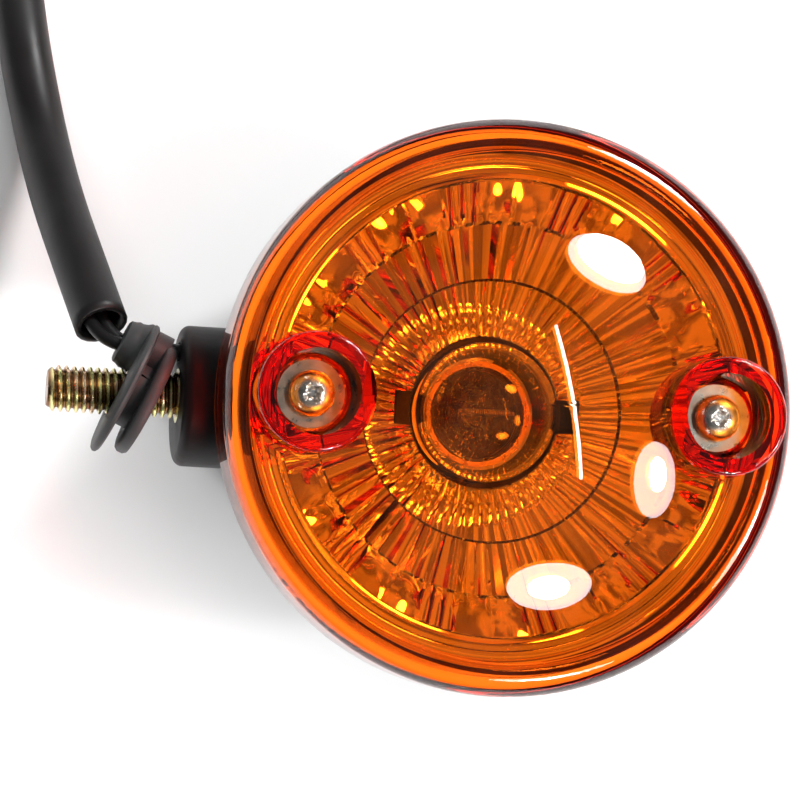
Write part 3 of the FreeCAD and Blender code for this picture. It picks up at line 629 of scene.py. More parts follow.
@dataclass(frozen=True)
class Metal:
    """Plated or drawn metal with patches of tint and fine scratches.

    The patches of gloss are sheen times finer than those of tint, and the scratches are fine times finer.
    """

    name: str
    tints: Sequence[Colour]
    rough: tuple[float, float] = (0.2, 0.35)
    patch: float = 160.0
    scratch: float = 0.1
    stretch: Point3 = (1.0, 1.0, 1.0)
    sheen: float = 2.3
    fine: float = 9.0
    relief: float = 0.00002

    def build(self) -> bpy.types.Material:
        """Makes the material.

        Returns:
            The material.
        """
        shader = Shader(self.name)
        self.dress(shader)
        return shader.material

    def dress(self, shader: Shader) -> bpy.types.NodeSocket:
        """Adds colour, gloss and scratches to a shader.

        Args:
            shader: The material's tree.

        Returns:
            The colour's socket.
        """
        shader.set(Metallic=1.0)
        place = shader.place(self.stretch)
        patches = shader.group(MOTTLE, Scale=self.patch)
        gloss = shader.group(MOTTLE, Scale=self.patch * self.sheen, Low=self.rough[0], High=self.rough[1])
        fine = shader.group(MOTTLE, Scale=self.patch * self.fine)
        for group in (patches, gloss, fine):
            shader.join(place, group.inputs["Vector"])
        ramp = shader.node("ShaderNodeValToRGB")
        elements = ramp.color_ramp.elements
        elements[0].color = self.tints[0]
        elements[1].color = self.tints[-1]
        for i, tint in enumerate(self.tints[1:-1], 1):
            elements.new(i / (len(self.tints) - 1)).color = tint
        shader.join(patches.outputs["Value"], ramp.inputs["Fac"])
        shader.join(ramp.outputs["Color"], shader.surface.inputs["Base Color"])
        shader.join(gloss.outputs["Value"], shader.surface.inputs["Roughness"])
        shader.bump(fine.outputs["Value"], self.scratch, self.relief)
        return ramp.outputs["Color"]


@dataclass(frozen=True)
class ThreadedZinc(Metal):
    """Yellow-passivated zinc, with painted shade darkening the roots of a thread along X."""

    axis: Point3 = (0.0, 0.0, 0.028)
    # painted shade in the thread's roots: the radii over which it fades out, and its dark colour
    root_shade_radii: tuple[float, float] = (0.00245, 0.00292)
    root: Colour = (0.24, 0.13, 0.06, 1.0)

    def build(self) -> bpy.types.Material:
        """Makes the material.

        Returns:
            The material.
        """
        shader = Shader(self.name)
        tint = self.dress(shader)
        coords = shader.node("ShaderNodeTexCoord")
        mapping = shader.node("ShaderNodeMapping")
        mapping.inputs["Location"].default_value = [-value for value in self.axis]
        mapping.inputs["Scale"].default_value = (0.0, 1.0, 1.0)
        # painted shade: a mask that is 0 in the thread's roots and 1 on its crests, mixing in the root colour
        mask = shader.group(RADIUS_MASK, Low=self.root_shade_radii[0], High=self.root_shade_radii[1])
        shader.join(coords.outputs["Object"], mapping.inputs["Vector"])
        shader.join(mapping.outputs["Vector"], mask.inputs["Vector"])
        mix, colours, result = colour_mix(shader)
        colours["A"].default_value = self.root
        shader.join(mask.outputs["Value"], mix.inputs["Factor"])
        shader.join(tint, colours["B"])
        shader.join(result, shader.surface.inputs["Base Color"])
        return shader.material


AMBER = ClearPlastic("amber_clear", (1.0, 0.74, 0.30, 1.0), (1.0, 0.62, 0.06, 1.0), 780.0, gloss=0.4,
                     ripple=0.05)
BULB_GLASS = ClearPlastic("bulb_clear", (0.98, 0.98, 0.97, 1.0), roughness=0.0, ior=1.5)
PRESSED_GLASS = ClearPlastic("pressed_glass", (0.93, 0.92, 0.9, 1.0), roughness=0.02, ior=1.5, ripple=1.0,
                             waves=300.0, swell=0.0006)
COVER_VINYL = ClearPlastic("cover_clear", (0.93, 0.93, 0.94, 1.0), roughness=0.18, ior=1.45, ripple=0.2)
HOUSING_BLACK = Plastic("housing_black", (0.004, 0.004, 0.0042, 1.0), (0.009, 0.009, 0.0095, 1.0),
                        (0.4, 0.52), 0.25, gloss=0.16)
GROMMET_RUBBER = Plastic("grommet_rubber", (0.024, 0.026, 0.027, 1.0), (0.045, 0.047, 0.048, 1.0),
                         (0.42, 0.6), 0.4, 700.0)
VINYL_BLACK = Plastic("vinyl_black", (0.005, 0.005, 0.0055, 1.0), (0.011, 0.011, 0.011, 1.0),
                      (0.36, 0.5), 0.2, 600.0)
WIRE_BLACK = Plastic("wire_black", (0.004, 0.004, 0.0045, 1.0), (0.008, 0.008, 0.0085, 1.0),
                     (0.3, 0.42), 0.15, 800.0)
FOAM = Plastic("seal_foam", (0.02, 0.02, 0.021, 1.0), (0.04, 0.04, 0.042, 1.0), (0.85, 0.95), 1.0, 1400.0)
PHENOLIC = Plastic("phenolic_board", (0.12, 0.05, 0.025, 1.0), (0.17, 0.075, 0.035, 1.0), (0.4, 0.55), 0.3)
VITRITE = Plastic("cap_vitrite", (0.012, 0.008, 0.016, 1.0), (0.02, 0.014, 0.026, 1.0), (0.12, 0.25), 0.05)
CHROME = Metal("reflector_chrome", [(0.93, 0.92, 0.90, 1.0), (0.97, 0.97, 0.96, 1.0)],
               (0.03, 0.07), 120.0, 0.03)
ZINC = ThreadedZinc("yellow_zinc", [(0.66, 0.42, 0.19, 1.0), (0.88, 0.73, 0.34, 1.0), (0.80, 0.84, 0.38, 1.0),
                                    (0.92, 0.62, 0.46, 1.0), (0.96, 0.86, 0.48, 1.0)],
                    (0.2, 0.34), 260.0, 0.12)
NICKEL = Metal("screw_nickel", [(0.55, 0.53, 0.50, 1.0), (0.74, 0.72, 0.69, 1.0)], (0.16, 0.3), 400.0, 0.15)
WASHER_STEEL = Metal("washer_steel", [(0.20, 0.20, 0.17, 1.0), (0.36, 0.36, 0.31, 1.0)],
                     (0.24, 0.4), 300.0, 0.15)
SOCKET_STEEL = Metal("socket_steel", [(0.50, 0.50, 0.50, 1.0), (0.66, 0.66, 0.65, 1.0)],
                     (0.3, 0.45), 200.0, 0.2)
SPRING_STEEL = Metal("spring_steel", [(0.35, 0.35, 0.36, 1.0), (0.5, 0.5, 0.5, 1.0)],
                     (0.25, 0.35), 300.0, 0.1)
BRASS = Metal("brass", [(0.62, 0.42, 0.15, 1.0), (0.78, 0.56, 0.24, 1.0)], (0.2, 0.38), 220.0, 0.15)
SOLDER = Metal("solder", [(0.48, 0.48, 0.47, 1.0), (0.66, 0.66, 0.64, 1.0)], (0.3, 0.5), 900.0, 0.5)
TUNGSTEN = Metal("tungsten", [(0.20, 0.20, 0.21, 1.0), (0.32, 0.32, 0.33, 1.0)], (0.3, 0.4), 900.0, 0.1)


@dataclass(frozen=True)
class Wardrobe:
    """Which finish each CAD node wears where its own shape stays."""

    nodes: dict[str, Sequence[str]] = field(default_factory=lambda: {
        "amber_clear": ("lens",),
        "housing_black": ("housing",),
        "seal_foam": ("lens_gasket",),
        "brass": ("thread_inserts", "feed_terminal", "contact_rivet", "feed_bullet", "ground_bullet",
                  "bulb_cap", "bulb_pins"),
        "washer_steel": ("screw_washer_left", "screw_washer_right"),
        "socket_steel": ("socket_shell", "ground_terminal"),
        "phenolic_board": ("socket_base", "contact_carrier"),
        "spring_steel": ("contact_spring",),
        "bulb_clear": ("bulb_glass",),
        "pressed_glass": ("bulb_mount",),
        "cap_vitrite": ("bulb_cap_insulator",),
        "solder": ("bulb_contact",),
        "tungsten": ("filament_leads",),
        "wire_black": ("inner_feed_wire", "inner_ground_wire"),
        "cover_clear": ("feed_bullet_cover", "ground_bullet_cover"),
    })

    def build(self) -> None:
        """Dresses every node in the list."""
        for finish, names in self.nodes.items():
            for name in names:
                wear(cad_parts[name], finish)


FINISHES = {finish.name: finish for finish in (
    AMBER, BULB_GLASS, PRESSED_GLASS, COVER_VINYL, HOUSING_BLACK, GROMMET_RUBBER, VINYL_BLACK, WIRE_BLACK,
    FOAM, PHENOLIC, VITRITE, CHROME, ZINC, NICKEL, WASHER_STEEL, SOCKET_STEEL, SPRING_STEEL, BRASS, SOLDER,
    TUNGSTEN)}
MADE: dict[str, bpy.types.Material] = {}


def wear(piece: bpy.types.Object, finish: str) -> None:
    """Gives a piece a finish in every material slot.

    Args:
        piece: The piece.
        finish: The finish's name.
    """
    if finish not in MADE:
        MADE[finish] = FINISHES[finish].build()
    if not piece.data.materials:
        piece.data.materials.append(MADE[finish])
    for index in range(len(piece.data.materials)):
        piece.data.materials[index] = MADE[finish]
    LOG.info("%s wears %s", piece.name, finish)


def settle(piece: bpy.types.Object, body: str, slot: str, finish: str, *nodes: str) -> bpy.types.Object:
    """Rides a new piece on its body, in place of CAD nodes, with its finish.

    Args:
        piece: The piece.
        body: The body that it moves with.
        slot: Not used.
        finish: The finish's name.
        *nodes: The CAD nodes that it stands for.

    Returns:
        The piece.
    """
    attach(piece, body)
    if nodes:
        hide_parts(*nodes)
    wear(piece, finish)
    return piece


# ---------------------------------------------------------------- reflector
class FluteStyle(Enum):
    """How the facets of a ring are shaped."""

    ROUND = "convex flutes"
    PRISM = "sharp prisms and flutes in turn"
    BLOCK = "pillows, prisms and slanted facets in turn"


@dataclass(frozen=True)
class FluteZone:
    """One ring of facets: from and to (r, z) in mm, how many, how deep, and where they start."""

    inner: Point2
    outer: Point2
    count: int
    depth: float
    style: FluteStyle
    shift: float = 0.0
    rows: int = 2


@dataclass(frozen=True)
class Reflector:
    """Chromed dish with three rings of radial flutes round the bulb's hole, and a lip on the collar.

    Two sizes differ from the CAD reflector's. The lip ends at a radius of 31.6 mm, not 33.0, and leaves a
    ring of the black collar bare. The notches beside the bulb are 0.8 mm deeper and reach 1.6 mm lower,
    right through the neck.
    """

    zones: Sequence[FluteZone] = (
        FluteZone((9.9, 31.4), (16.5, 35.3), 72, 0.17, FluteStyle.ROUND, 0.0, 2),
        FluteZone((16.8, 35.9), (23.3, 39.6), 72, 0.42, FluteStyle.PRISM, 0.5, 1),
        FluteZone((23.7, 40.2), (28.3, 43.1), 36, 0.9, FluteStyle.BLOCK, 0.0, 4),
    )
    steps: int = 432
    hole_r: float = 9.7
    hole_z: float = 31.5
    neck_top: float = 31.2
    bottom_z: float = 27.0
    rim_r: float = 29.8
    rim_z: float = 44.0
    lip_r: float = 31.6
    lip_z: float = 44.6
    wall: float = 1.2
    post_x: float = 25.6
    post_r: float = 3.6
    post_span: tuple[float, float] = (20.0, 60.0)
    notch: Point3 = (2.0, 4.3, 7.8)  # half its length, its width and its height
    notch_out: float = 0.3
    notch_down: float = 1.2

    def profile(self) -> tuple[list[Point2], list[int]]:
        """Works out the dish's outline.

        Returns:
            The closed outline's points, and the zone that each belongs to, -1 for none.
        """
        points: list[Point2] = [(self.hole_r, self.bottom_z), (self.hole_r, self.neck_top)]
        owner = [-1, -1]
        for index, zone in enumerate(self.zones):
            for row in range(zone.rows + 1):
                share = row / zone.rows
                points.append((zone.inner[0] + (zone.outer[0] - zone.inner[0]) * share,
                               zone.inner[1] + (zone.outer[1] - zone.inner[1]) * share))
                owner.append(index)
        lip = [(28.45, 44.25), (28.6, 44.5), (28.85, self.lip_z), (29.2, 44.5), (29.4, 44.15), (29.5, 43.6),
               (29.9, 43.6), (30.0, 44.15), (30.2, 44.5), (30.6, self.lip_z), (31.4, 44.5),
               (self.lip_r, 44.35), (self.lip_r, self.rim_z), (self.rim_r, self.rim_z)]
        under = [(self.rim_r, 41.6), (23.5, 38.4), (16.7, 34.1), (self.hole_r + self.wall, 30.5),
                 (self.hole_r + self.wall, self.bottom_z)]
        return points + lip + under, owner + [-1] * (len(lip) + len(under))

    def build(self) -> bpy.types.Object:
        """Spins the dish, raises its flutes and cuts the holes.

        Returns:
            The dish.
        """
        points, owner = self.profile()
        bm = bmesh.new()
        layer = bm.verts.layers.int.new("zone")
        verts = []
        for (r, z), zone in zip(points, owner):
            vert = bm.verts.new((r * MM, 0.0, z * MM))
            vert[layer] = zone + 1
            verts.append(vert)
        edges = [bm.edges.new(pair) for pair in zip(verts, verts[1:] + verts[:1])]
        bmesh.ops.spin(bm, geom=verts + edges, cent=(0, 0, 0), axis=(0, 0, 1), dvec=(0, 0, 0),
                       angle=TAU, steps=self.steps, use_merge=True, use_duplicate=False)
        bmesh.ops.remove_doubles(bm, verts=bm.verts, dist=MERGE)
        for index, zone in enumerate(self.zones):
            self.flute(bm, [v for v in bm.verts if v[layer] == index + 1], zone)
        bmesh.ops.recalc_face_normals(bm, faces=bm.faces)
        dish = to_object(bm, "dish", None)
        tools = [("DIFFERENCE", self.post_hole(side)) for side in (-1, 1)]
        tools += [("DIFFERENCE", self.notch_block(side)) for side in (-1, 1)]
        piece = combined(dish, tools, "reflector_dish", 22.0)
        return settle(piece, "root", "reflector_chrome", "reflector_chrome", "reflector")

    def flute(self, bm: bmesh.types.BMesh, verts: Sequence[bmesh.types.BMVert], zone: FluteZone) -> None:
        """Raises a zone's points into ridges that repeat round the axis.

        Args:
            bm: The dish.
            verts: The zone's points.
            zone: The ring.
        """
        per = self.steps // zone.count
        groups: dict[float, list[bmesh.types.BMVert]] = {}
        for vert in verts:
            turn = round(math.atan2(vert.co.y, vert.co.x) / TAU * self.steps) % self.steps
            place = (turn / per + zone.shift) % zone.count
            radius = math.hypot(vert.co.x, vert.co.y) / MM
            share = (radius - zone.inner[0]) / (zone.outer[0] - zone.inner[0])
            height = self.ridge(place % 1.0, share, int(place), zone)
            groups.setdefault(round(height, 4), []).append(vert)
        for height, members in groups.items():
            bmesh.ops.translate(bm, verts=members, vec=(0.0, 0.0, height * MM))

    def ridge(self, phase: float, share: float, column: int, zone: FluteZone) -> float:
        """Height of a flute.

        Args:
            phase: Place across the flute, 0 to 1.
            share: Place along it, 0 at the inner end.
            column: Which flute.
            zone: The ring it belongs to.

        Returns:
            The height in mm.
        """
        across = 1.0 - abs(phase * 2.0 - 1.0)
        rounded = math.sin(across * math.pi / 2.0)
        uneven = 0.75 + 0.25 * math.sin(column * 2.4) + 0.12 * math.sin(column * 5.3)
        if zone.style is FluteStyle.ROUND:
            return zone.depth * uneven * (0.55 + 0.45 * share) * rounded
        if zone.style is FluteStyle.PRISM:
            shape = across if column % 2 else 0.7 * rounded + 0.3 * phase
            return zone.depth * uneven * (0.3 + 0.7 * share) * shape
        middle = 1.0 - abs(share * 2.0 - 1.0)
        if column % 3 == 0:
            return zone.depth * (0.5 * rounded + 0.4 * math.sin(middle * math.pi / 2.0))
        if column % 3 == 1:
            return zone.depth * (0.35 * abs(math.sin(phase * math.pi * 3.0)) + 0.5 * share)
        return zone.depth * uneven * (0.6 * abs(phase - share) + 0.5 * middle)

    def post_hole(self, side: int) -> bpy.types.Object:
        """Makes the rod that cuts the hole for one screw post.

        Args:
            side: -1 or 1, along X.

        Returns:
            The rod.
        """
        low, high = self.post_span
        rod = spun([(0, low), (self.post_r, low), (self.post_r, high), (0, high)], ROUND_STEPS,
                   at=(side * self.post_x, 0, 0))
        return to_object(rod, "rod", None)

    def notch_block(self, side: int) -> bpy.types.Object:
        """Makes the block that cuts the notch beside the bulb's hole.

        Args:
            side: -1 or 1, along X.

        Returns:
            The block.
        """
        bm = bmesh.new()
        bmesh.ops.create_cube(bm, size=1.0)
        length, width, height = self.notch
        bmesh.ops.scale(bm, vec=(length * 2 * MM, width * MM, height * MM), verts=bm.verts)
        middle = (side * (self.hole_r + self.notch_out) * MM, 0, (self.hole_z - self.notch_down) * MM)
        bmesh.ops.translate(bm, vec=middle, verts=bm.verts)
        return to_object(bm, "block", None)


# ---------------------------------------------------------------- threads
@dataclass(frozen=True)
class Thread:
    """A right-hand V thread along Z, from z = 0 up."""

    major: float
    minor: float
    pitch: float
    length: float
    chamfer: float = 0.0
    steps: int = 40
    crest_share: float = 0.11
    root_share: float = 0.08
    crown: float = 0.004
    seam: float = 2e-6
    level_gap: float = 1e-6
    chamfer_share: float = 0.8

    def build(self) -> bmesh.types.BMesh:
        """Winds one pitch of the profile into a screw and trims its ends.

        Returns:
            The closed threaded rod.
        """
        crest = self.pitch * self.crest_share
        root = self.pitch * self.root_share
        half = self.pitch / 2
        profile = [(self.minor, -half), (self.minor, -half + root), (self.major, -crest),
                   (self.major + self.crown, 0.0), (self.major, crest), (self.minor, half - root),
                   (self.minor, half)]
        turns = int(self.length / self.pitch) + 3
        bm = bmesh.new()
        verts = [bm.verts.new((r * MM, 0.0, (z - self.pitch) * MM)) for r, z in profile]
        edges = [bm.edges.new(pair) for pair in zip(verts, verts[1:])]
        bmesh.ops.spin(bm, geom=verts + edges, cent=(0, 0, 0), axis=(0, 0, 1),
                       dvec=(0, 0, self.pitch * MM / self.steps), angle=TAU * turns, steps=self.steps * turns,
                       use_merge=False, use_duplicate=False)
        bmesh.ops.remove_doubles(bm, verts=bm.verts, dist=self.seam)
        for level, normal in ((0.0, (0, 0, -1)), (self.length, (0, 0, 1))):
            geom = bm.verts[:] + bm.edges[:] + bm.faces[:]
            bmesh.ops.bisect_plane(bm, geom=geom, dist=MERGE, plane_co=(0, 0, level * MM), plane_no=normal,
                                   clear_outer=True)
            rim = [edge for edge in bm.edges if edge.is_boundary
                   and all(abs(vert.co.z - level * MM) < self.level_gap for vert in edge.verts)]
            bmesh.ops.contextual_create(bm, geom=rim)
        if self.chamfer:
            self.taper(bm)
        bmesh.ops.recalc_face_normals(bm, faces=bm.faces)
        return bm

    def taper(self, bm: bmesh.types.BMesh) -> None:
        """Pulls the points near the far end in to a chamfer.

        Args:
            bm: The threaded rod.
        """
        for vert in bm.verts:
            left = self.length - vert.co.z / MM
            limit = (self.major - self.chamfer * self.chamfer_share + max(left, 0.0)) * MM
            radius = math.hypot(vert.co.x, vert.co.y)
            if left < self.chamfer and radius > limit:
                bmesh.ops.scale(bm, verts=[vert], vec=(limit / radius, limit / radius, 1.0))


@dataclass(frozen=True)
class MountingStud:
    """Yellow-zinc stud: a head inside the boss, a collar, and the thread outside."""

    thread: Thread = Thread(2.98, 2.42, 1.0, 16.6, 0.9, 40)
    axis_z: float = 28.0
    face_x: float = 39.5
    head: Sequence[Point2] = ((0.0, -15.0), (4.2, -15.0), (4.4, -14.8), (4.4, -12.0), (3.5, -12.0),
                              (3.5, 0.0), (2.42, 0.02), (0.0, 0.02))

    def build(self) -> bpy.types.Object:
        """Makes the stud in one piece, pointing along -X.

        Returns:
            The stud.
        """
        bm = joined([self.thread.build(), spun(self.head, ROUND_STEPS)])
        turn = Matrix.Rotation(-math.pi / 2, 3, "Y")
        bmesh.ops.rotate(bm, verts=bm.verts, matrix=turn, cent=(0, 0, 0))
        bmesh.ops.translate(bm, verts=bm.verts, vec=(-self.face_x * MM, 0, self.axis_z * MM))
        stud = to_object(bm, "threaded_stud", 40.0)
        return settle(stud, "root", "yellow_zinc", "yellow_zinc", "mounting_stud")


@dataclass(frozen=True)
class LensScrew:
    """Pan head screw with a tapered cross recess."""

    name: str
    node: str
    body: str
    at_x: float
    turn: float
    seat_z: float = 50.8
    head_r: float = 2.9
    head_h: float = 2.2
    arm: Point3 = (1.75, 0.42, 1.25)  # half a slot's length, half its width, and its depth
    taper: Point3 = (0.45, 0.62, 1.0)  # the slot's floor against its mouth
    soft_edge: float = 0.00006
    sharp_over: float = 40.0
    under_head: float = 0.3
    sunk: float = 0.02
    shank: Thread = Thread(1.45, 1.2, 0.5, 11.0, 0.5, 24)

    def head(self) -> bpy.types.Object:
        """Makes the rounded head.

        Returns:
            The head.
        """
        top = self.head_h
        profile = [(0.0, 0.0), (2.7, 0.0), (self.head_r, 0.15), (self.head_r, 0.75), (2.8, 1.15),
                   (2.55, 1.55), (2.15, 1.88), (1.6, 2.08), (1.0, 2.17), (0.0, top)]
        return to_object(spun(profile, 64), "head", None)

    def recess(self) -> bpy.types.Object:
        """Makes the cross that is cut into the head, narrower towards its floor.

        Returns:
            The cross.
        """
        reach, half, depth = self.arm
        arms = []
        for turn in (0.0, math.pi / 2):
            bm = bmesh.new()
            bmesh.ops.create_cube(bm, size=1.0)
            bmesh.ops.scale(bm, vec=(2 * reach * MM, 2 * half * MM, 2 * depth * MM), verts=bm.verts)
            floor = [v for v in bm.verts if v.co.z < 0]
            bmesh.ops.scale(bm, vec=self.taper, verts=floor)
            bmesh.ops.rotate(bm, verts=bm.verts, matrix=Matrix.Rotation(turn, 3, "Z"), cent=(0, 0, 0))
            arms.append(to_object(bm, "arm", None))
        cone = spun([(0.0, -depth), (0.5, -depth), (1.0, 0.3), (0.0, 0.3)], 24)
        middle = to_object(cone, "cone", None)
        cross = combined(arms[0], [("UNION", arms[1]), ("UNION", middle)], "cross", None)
        cross.data.transform(Matrix.Translation((0, 0, self.head_h * MM)))
        return cross

    def build(self) -> bpy.types.Object:
        """Cuts the recess, adds the threaded shank and sets the screw in its well.

        Returns:
            The screw.
        """
        head = combined(self.head(), [("DIFFERENCE", self.recess())], "cut_head")
        bm = bmesh.new()
        bm.from_mesh(head.data)
        bpy.data.objects.remove(head)
        limit = math.radians(self.sharp_over)
        geom = [edge for edge in bm.edges if len(edge.link_faces) == 2 and edge.calc_face_angle(0) > limit
                and all(vert.co.z > self.under_head * MM for vert in edge.verts)]
        bmesh.ops.bevel(bm, geom=geom, offset=self.soft_edge, segments=2, affect="EDGES", profile=0.5,
                        material=-1)
        shank = self.shank.build()
        bmesh.ops.rotate(shank, verts=shank.verts, matrix=Matrix.Rotation(math.pi, 3, "X"), cent=(0, 0, 0))
        bmesh.ops.translate(shank, verts=shank.verts, vec=(0, 0, self.sunk * MM))
        whole = joined([bm, shank])
        bmesh.ops.rotate(whole, verts=whole.verts, matrix=Matrix.Rotation(math.radians(self.turn), 3, "Z"),
                         cent=(0, 0, 0))
        bmesh.ops.translate(whole, verts=whole.verts, vec=(self.at_x * MM, 0, self.seat_z * MM))
        screw = to_object(whole, self.name, 30.0)
        return settle(screw, self.body, "screw_nickel", "screw_nickel", self.node)


# ---------------------------------------------------------------- grommet
@dataclass(frozen=True)
class Grommet:
    """Rubber grommet pushed askew on the stud: two flanges, a neck for the wires and a lumpy boot."""

    tilt: float = 24.0
    centre: Point3 = (-44.9, 0.0, 28.0)
    core_y: float = 5.2
    hole_r: float = 3.15
    steps: int = 72

    def along_x(self, profile: Sequence[Point2], at_y: float = 0.0) -> bpy.types.Object:
        """Spins an outline round an axis along X.

        Args:
            profile: (r, x) points in mm.
            at_y: Where the axis stands, in mm.

        Returns:
            The shape.
        """
        bm = spun(profile, self.steps)
        bmesh.ops.rotate(bm, verts=bm.verts, matrix=Matrix.Rotation(math.pi / 2, 3, "Y"), cent=(0, 0, 0))
        bmesh.ops.translate(bm, verts=bm.verts, vec=(0, at_y * MM, 0))
        return to_object(bm, "spun_part", None)

    def build(self) -> bpy.types.Object:
        """Joins the parts, tilts the whole and cuts the stud's hole, which stays straight.

        Returns:
            The grommet.
        """
        outer = self.along_x([(0, -2.1), (6.6, -2.1), (8.2, -1.95), (8.75, -1.75), (9.0, -1.45), (8.95, -1.1),
                              (8.6, -0.85), (7.4, -0.8), (0, -0.8)])
        inner = self.along_x([(0, 0.8), (6.8, 0.8), (7.3, 0.95), (7.6, 1.35), (7.6, 2.1), (7.3, 2.5),
                              (6.7, 2.6), (0, 2.6)])
        neck = self.along_x([(0, -1.2), (3.3, -1.2), (3.3, 1.4), (0, 1.4)], self.core_y)
        boot = self.along_x([(0, -4.6), (2.55, -4.6), (2.85, -4.4), (2.95, -3.9), (3.2, -3.4), (3.15, -3.0),
                             (3.35, -2.4), (3.7, -1.9), (3.7, -1.5), (0, -1.5)], self.core_y)
        hub = self.along_x([(0, -1.2), (4.6, -1.2), (4.6, 1.4), (0, 1.4)])
        body = combined(outer, [("UNION", part) for part in (inner, hub, neck, boot)], "grommet_body", None)
        body.data.transform(Matrix.Rotation(math.radians(-self.tilt), 4, "Z"))
        body.data.transform(Matrix.Translation(Vector(self.centre) * MM))
        rod = self.along_x([(0, -60), (self.hole_r, -60), (self.hole_r, -20), (0, -20)])
        rod.data.transform(Matrix.Translation((0, 0, self.centre[2] * MM)))
        piece = combined(body, [("DIFFERENCE", rod)], "rubber_grommet", 38.0)
        return settle(piece, "lead", "grommet_rubber", "grommet_rubber", "grommet")


# ---------------------------------------------------------------- bulb
@dataclass(frozen=True)
class Filament:
    """Coiled tungsten wire between the two leads."""

    half: float = 3.0
    coil_r: float = 0.3
    wire_r: float = 0.07
    turns: int = 22
    height: float = 32.9
    sides: int = 6
    steps: int = 14

    def build(self) -> bpy.types.Object:
        """Winds a small ring of wire along X.

        Returns:
            The coil.
        """
        bm = bmesh.new()
        bmesh.ops.create_circle(bm, segments=self.sides, radius=self.wire_r * MM)
        bmesh.ops.rotate(bm, verts=bm.verts, matrix=Matrix.Rotation(math.pi / 2, 3, "X"), cent=(0, 0, 0))
        bmesh.ops.translate(bm, verts=bm.verts, vec=(self.coil_r * MM, 0, 0))
        steps = self.turns * self.steps
        bmesh.ops.spin(bm, geom=bm.verts[:] + bm.edges[:], cent=(0, 0, 0), axis=(0, 0, 1),
                       dvec=(0, 0, 2 * self.half * MM / steps), angle=TAU * self.turns, steps=steps,
                       use_merge=False, use_duplicate=False)
        ends = [e for e in bm.edges if e.is_boundary]
        bmesh.ops.holes_fill(bm, edges=ends, sides=self.sides)
        bmesh.ops.translate(bm, verts=bm.verts, vec=(0, 0, -self.half * MM))
        bmesh.ops.rotate(bm, verts=bm.verts, matrix=Matrix.Rotation(math.pi / 2, 3, "Y"), cent=(0, 0, 0))
        bmesh.ops.translate(bm, verts=bm.verts, vec=(0, 0, self.height * MM))
        bmesh.ops.recalc_face_normals(bm, faces=bm.faces)
        return settle(to_object(bm, "coiled_filament", None), "bulb", "tungsten", "tungsten", "filament")


# ---------------------------------------------------------------- lead
@dataclass
class Route:
    """A cord's control points in metres, and its thickness."""

    name: str
    points: Sequence[Point3]
    radius: float
    resolution: int = 16
    roundness: int = 8

    def build(self, caps: bool = True) -> bpy.types.Object:
        """Makes a smooth NURBS curve with the route's points as its control points.

        Args:
            caps: Whether its ends are closed.

        Returns:
            The curve.
        """
        data = bpy.data.curves.new(self.name, "CURVE")
        data.dimensions = "3D"
        spline = data.splines.new("NURBS")
        spline.points.add(len(self.points) - 1)
        for control, place in zip(spline.points, self.points):
            control.co = (*place, 1.0)
        spline.order_u = 3
        spline.use_endpoint_u = True
        spline.resolution_u = self.resolution
        data.bevel_depth = self.radius
        data.bevel_resolution = self.roundness
        data.use_fill_caps = caps
        piece = bpy.data.objects.new(self.name, data)
        bpy.context.scene.collection.objects.link(piece)
        return piece


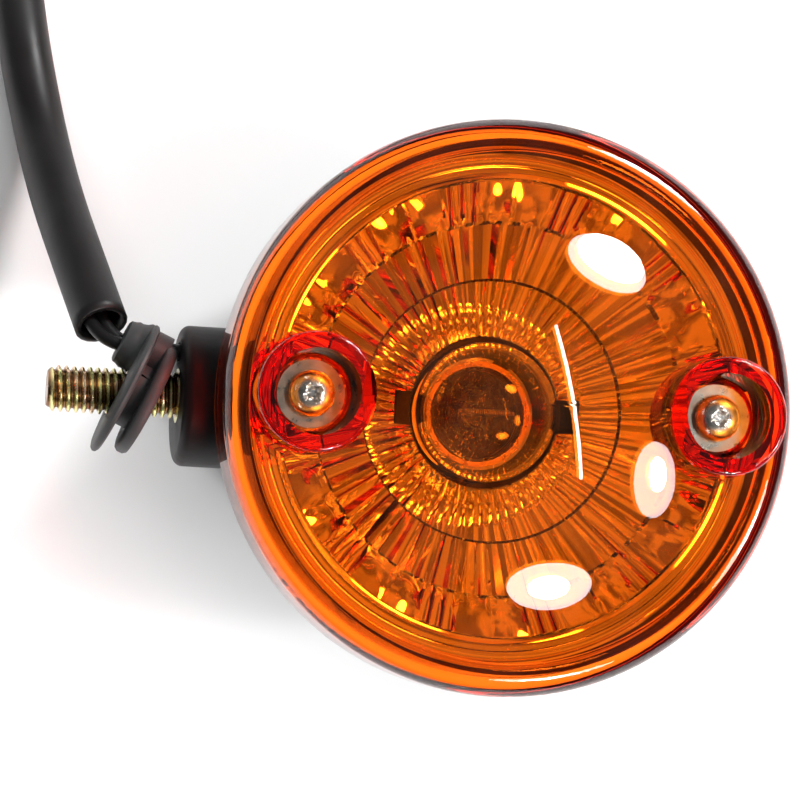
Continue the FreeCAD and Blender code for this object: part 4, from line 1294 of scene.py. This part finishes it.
SLEEVE = Route("vinyl_sleeve", [
    (-0.0495, 0.0086, 0.0266), (-0.0526, 0.0178, 0.0200), (-0.0553, 0.0266, 0.0126),
    (-0.0576, 0.0366, 0.0060), (-0.0602, 0.0484, 0.0036), (-0.0624, 0.0614, 0.0036),
    (-0.0576, 0.0742, 0.0036), (-0.0460, 0.0832, 0.0036), (-0.0310, 0.0866, 0.0036),
    (-0.0170, 0.0846, 0.0036), (-0.0050, 0.0828, 0.0036)], 0.0035)
FEED = Route("feed_lead", [
    (-0.0310, 0.0056, 0.02895), (-0.0362, 0.0056, 0.02895), (-0.0414, 0.00564, 0.02896),
    (-0.0458, 0.0056, 0.0289), (-0.0499, 0.0070, 0.0281), (-0.0523, 0.0112, 0.0252),
    (-0.0542, 0.0180, 0.0198), (-0.0563, 0.0264, 0.0127), (-0.0586, 0.0364, 0.0061),
    (-0.0612, 0.0484, 0.0036), (-0.0634, 0.0615, 0.0036), (-0.0584, 0.0748, 0.0036),
    (-0.0464, 0.0841, 0.0036), (-0.0310, 0.0876, 0.0036), (-0.0169, 0.0856, 0.0036),
    (-0.0050, 0.0838, 0.0036), (0.0065, 0.0842, 0.0034), (0.0165, 0.0873, 0.0030),
    (0.0255, 0.0882, 0.0030)], 0.0009)
GROUND = Route("ground_lead", [
    (-0.0310, 0.0056, 0.02705), (-0.0362, 0.0056, 0.02705), (-0.0414, 0.00556, 0.02704),
    (-0.0450, 0.00565, 0.0270), (-0.0484, 0.0074, 0.0267), (-0.0504, 0.0114, 0.0246),
    (-0.0522, 0.0182, 0.0196), (-0.0543, 0.0268, 0.0125), (-0.0566, 0.0368, 0.0059),
    (-0.0592, 0.0484, 0.0036), (-0.0614, 0.0613, 0.0036), (-0.0568, 0.0736, 0.0036),
    (-0.0456, 0.0823, 0.0036), (-0.0310, 0.0856, 0.0036), (-0.0171, 0.0836, 0.0036),
    (-0.0052, 0.0818, 0.0036), (0.0050, 0.0798, 0.0034), (0.0135, 0.0768, 0.0030),
    (0.0220, 0.0756, 0.0030)], 0.0009)


@dataclass
class Lead:
    """Two wires in a vinyl sleeve, with a bullet connector on each."""

    sleeve_wall: float = 0.0008

    def build(self) -> None:
        for route, node, bullet in ((FEED, "feed_wire", "feed_bullet"),
                                    (GROUND, "ground_wire", "ground_bullet")):
            wire = route.build()
            wear(wire, "wire_black")
            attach(wire, "lead")
            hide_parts(node)
        sleeve = SLEEVE.build(caps=False)
        wall = sleeve.modifiers.new("wall", "SOLIDIFY")
        wall.thickness = self.sleeve_wall
        wall.offset = -1.0
        wear(sleeve, "vinyl_black")
        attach(sleeve, "lead")
        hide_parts("lead_sleeve")


def main() -> None:
    """Builds every piece in order."""
    logging.basicConfig(level=logging.INFO, format="%(message)s")
    Studio().build()
    Lead().build()
    Wardrobe().build()
    Reflector().build()
    MountingStud().build()
    LensScrew("left_screw_piece", "lens_screw_left", "left_screw", -SCREW_X, 32.0).build()
    LensScrew("right_screw_piece", "lens_screw_right", "right_screw", SCREW_X, 8.0).build()
    Grommet().build()
    Filament().build()


if __name__ == "__main__":
    main()
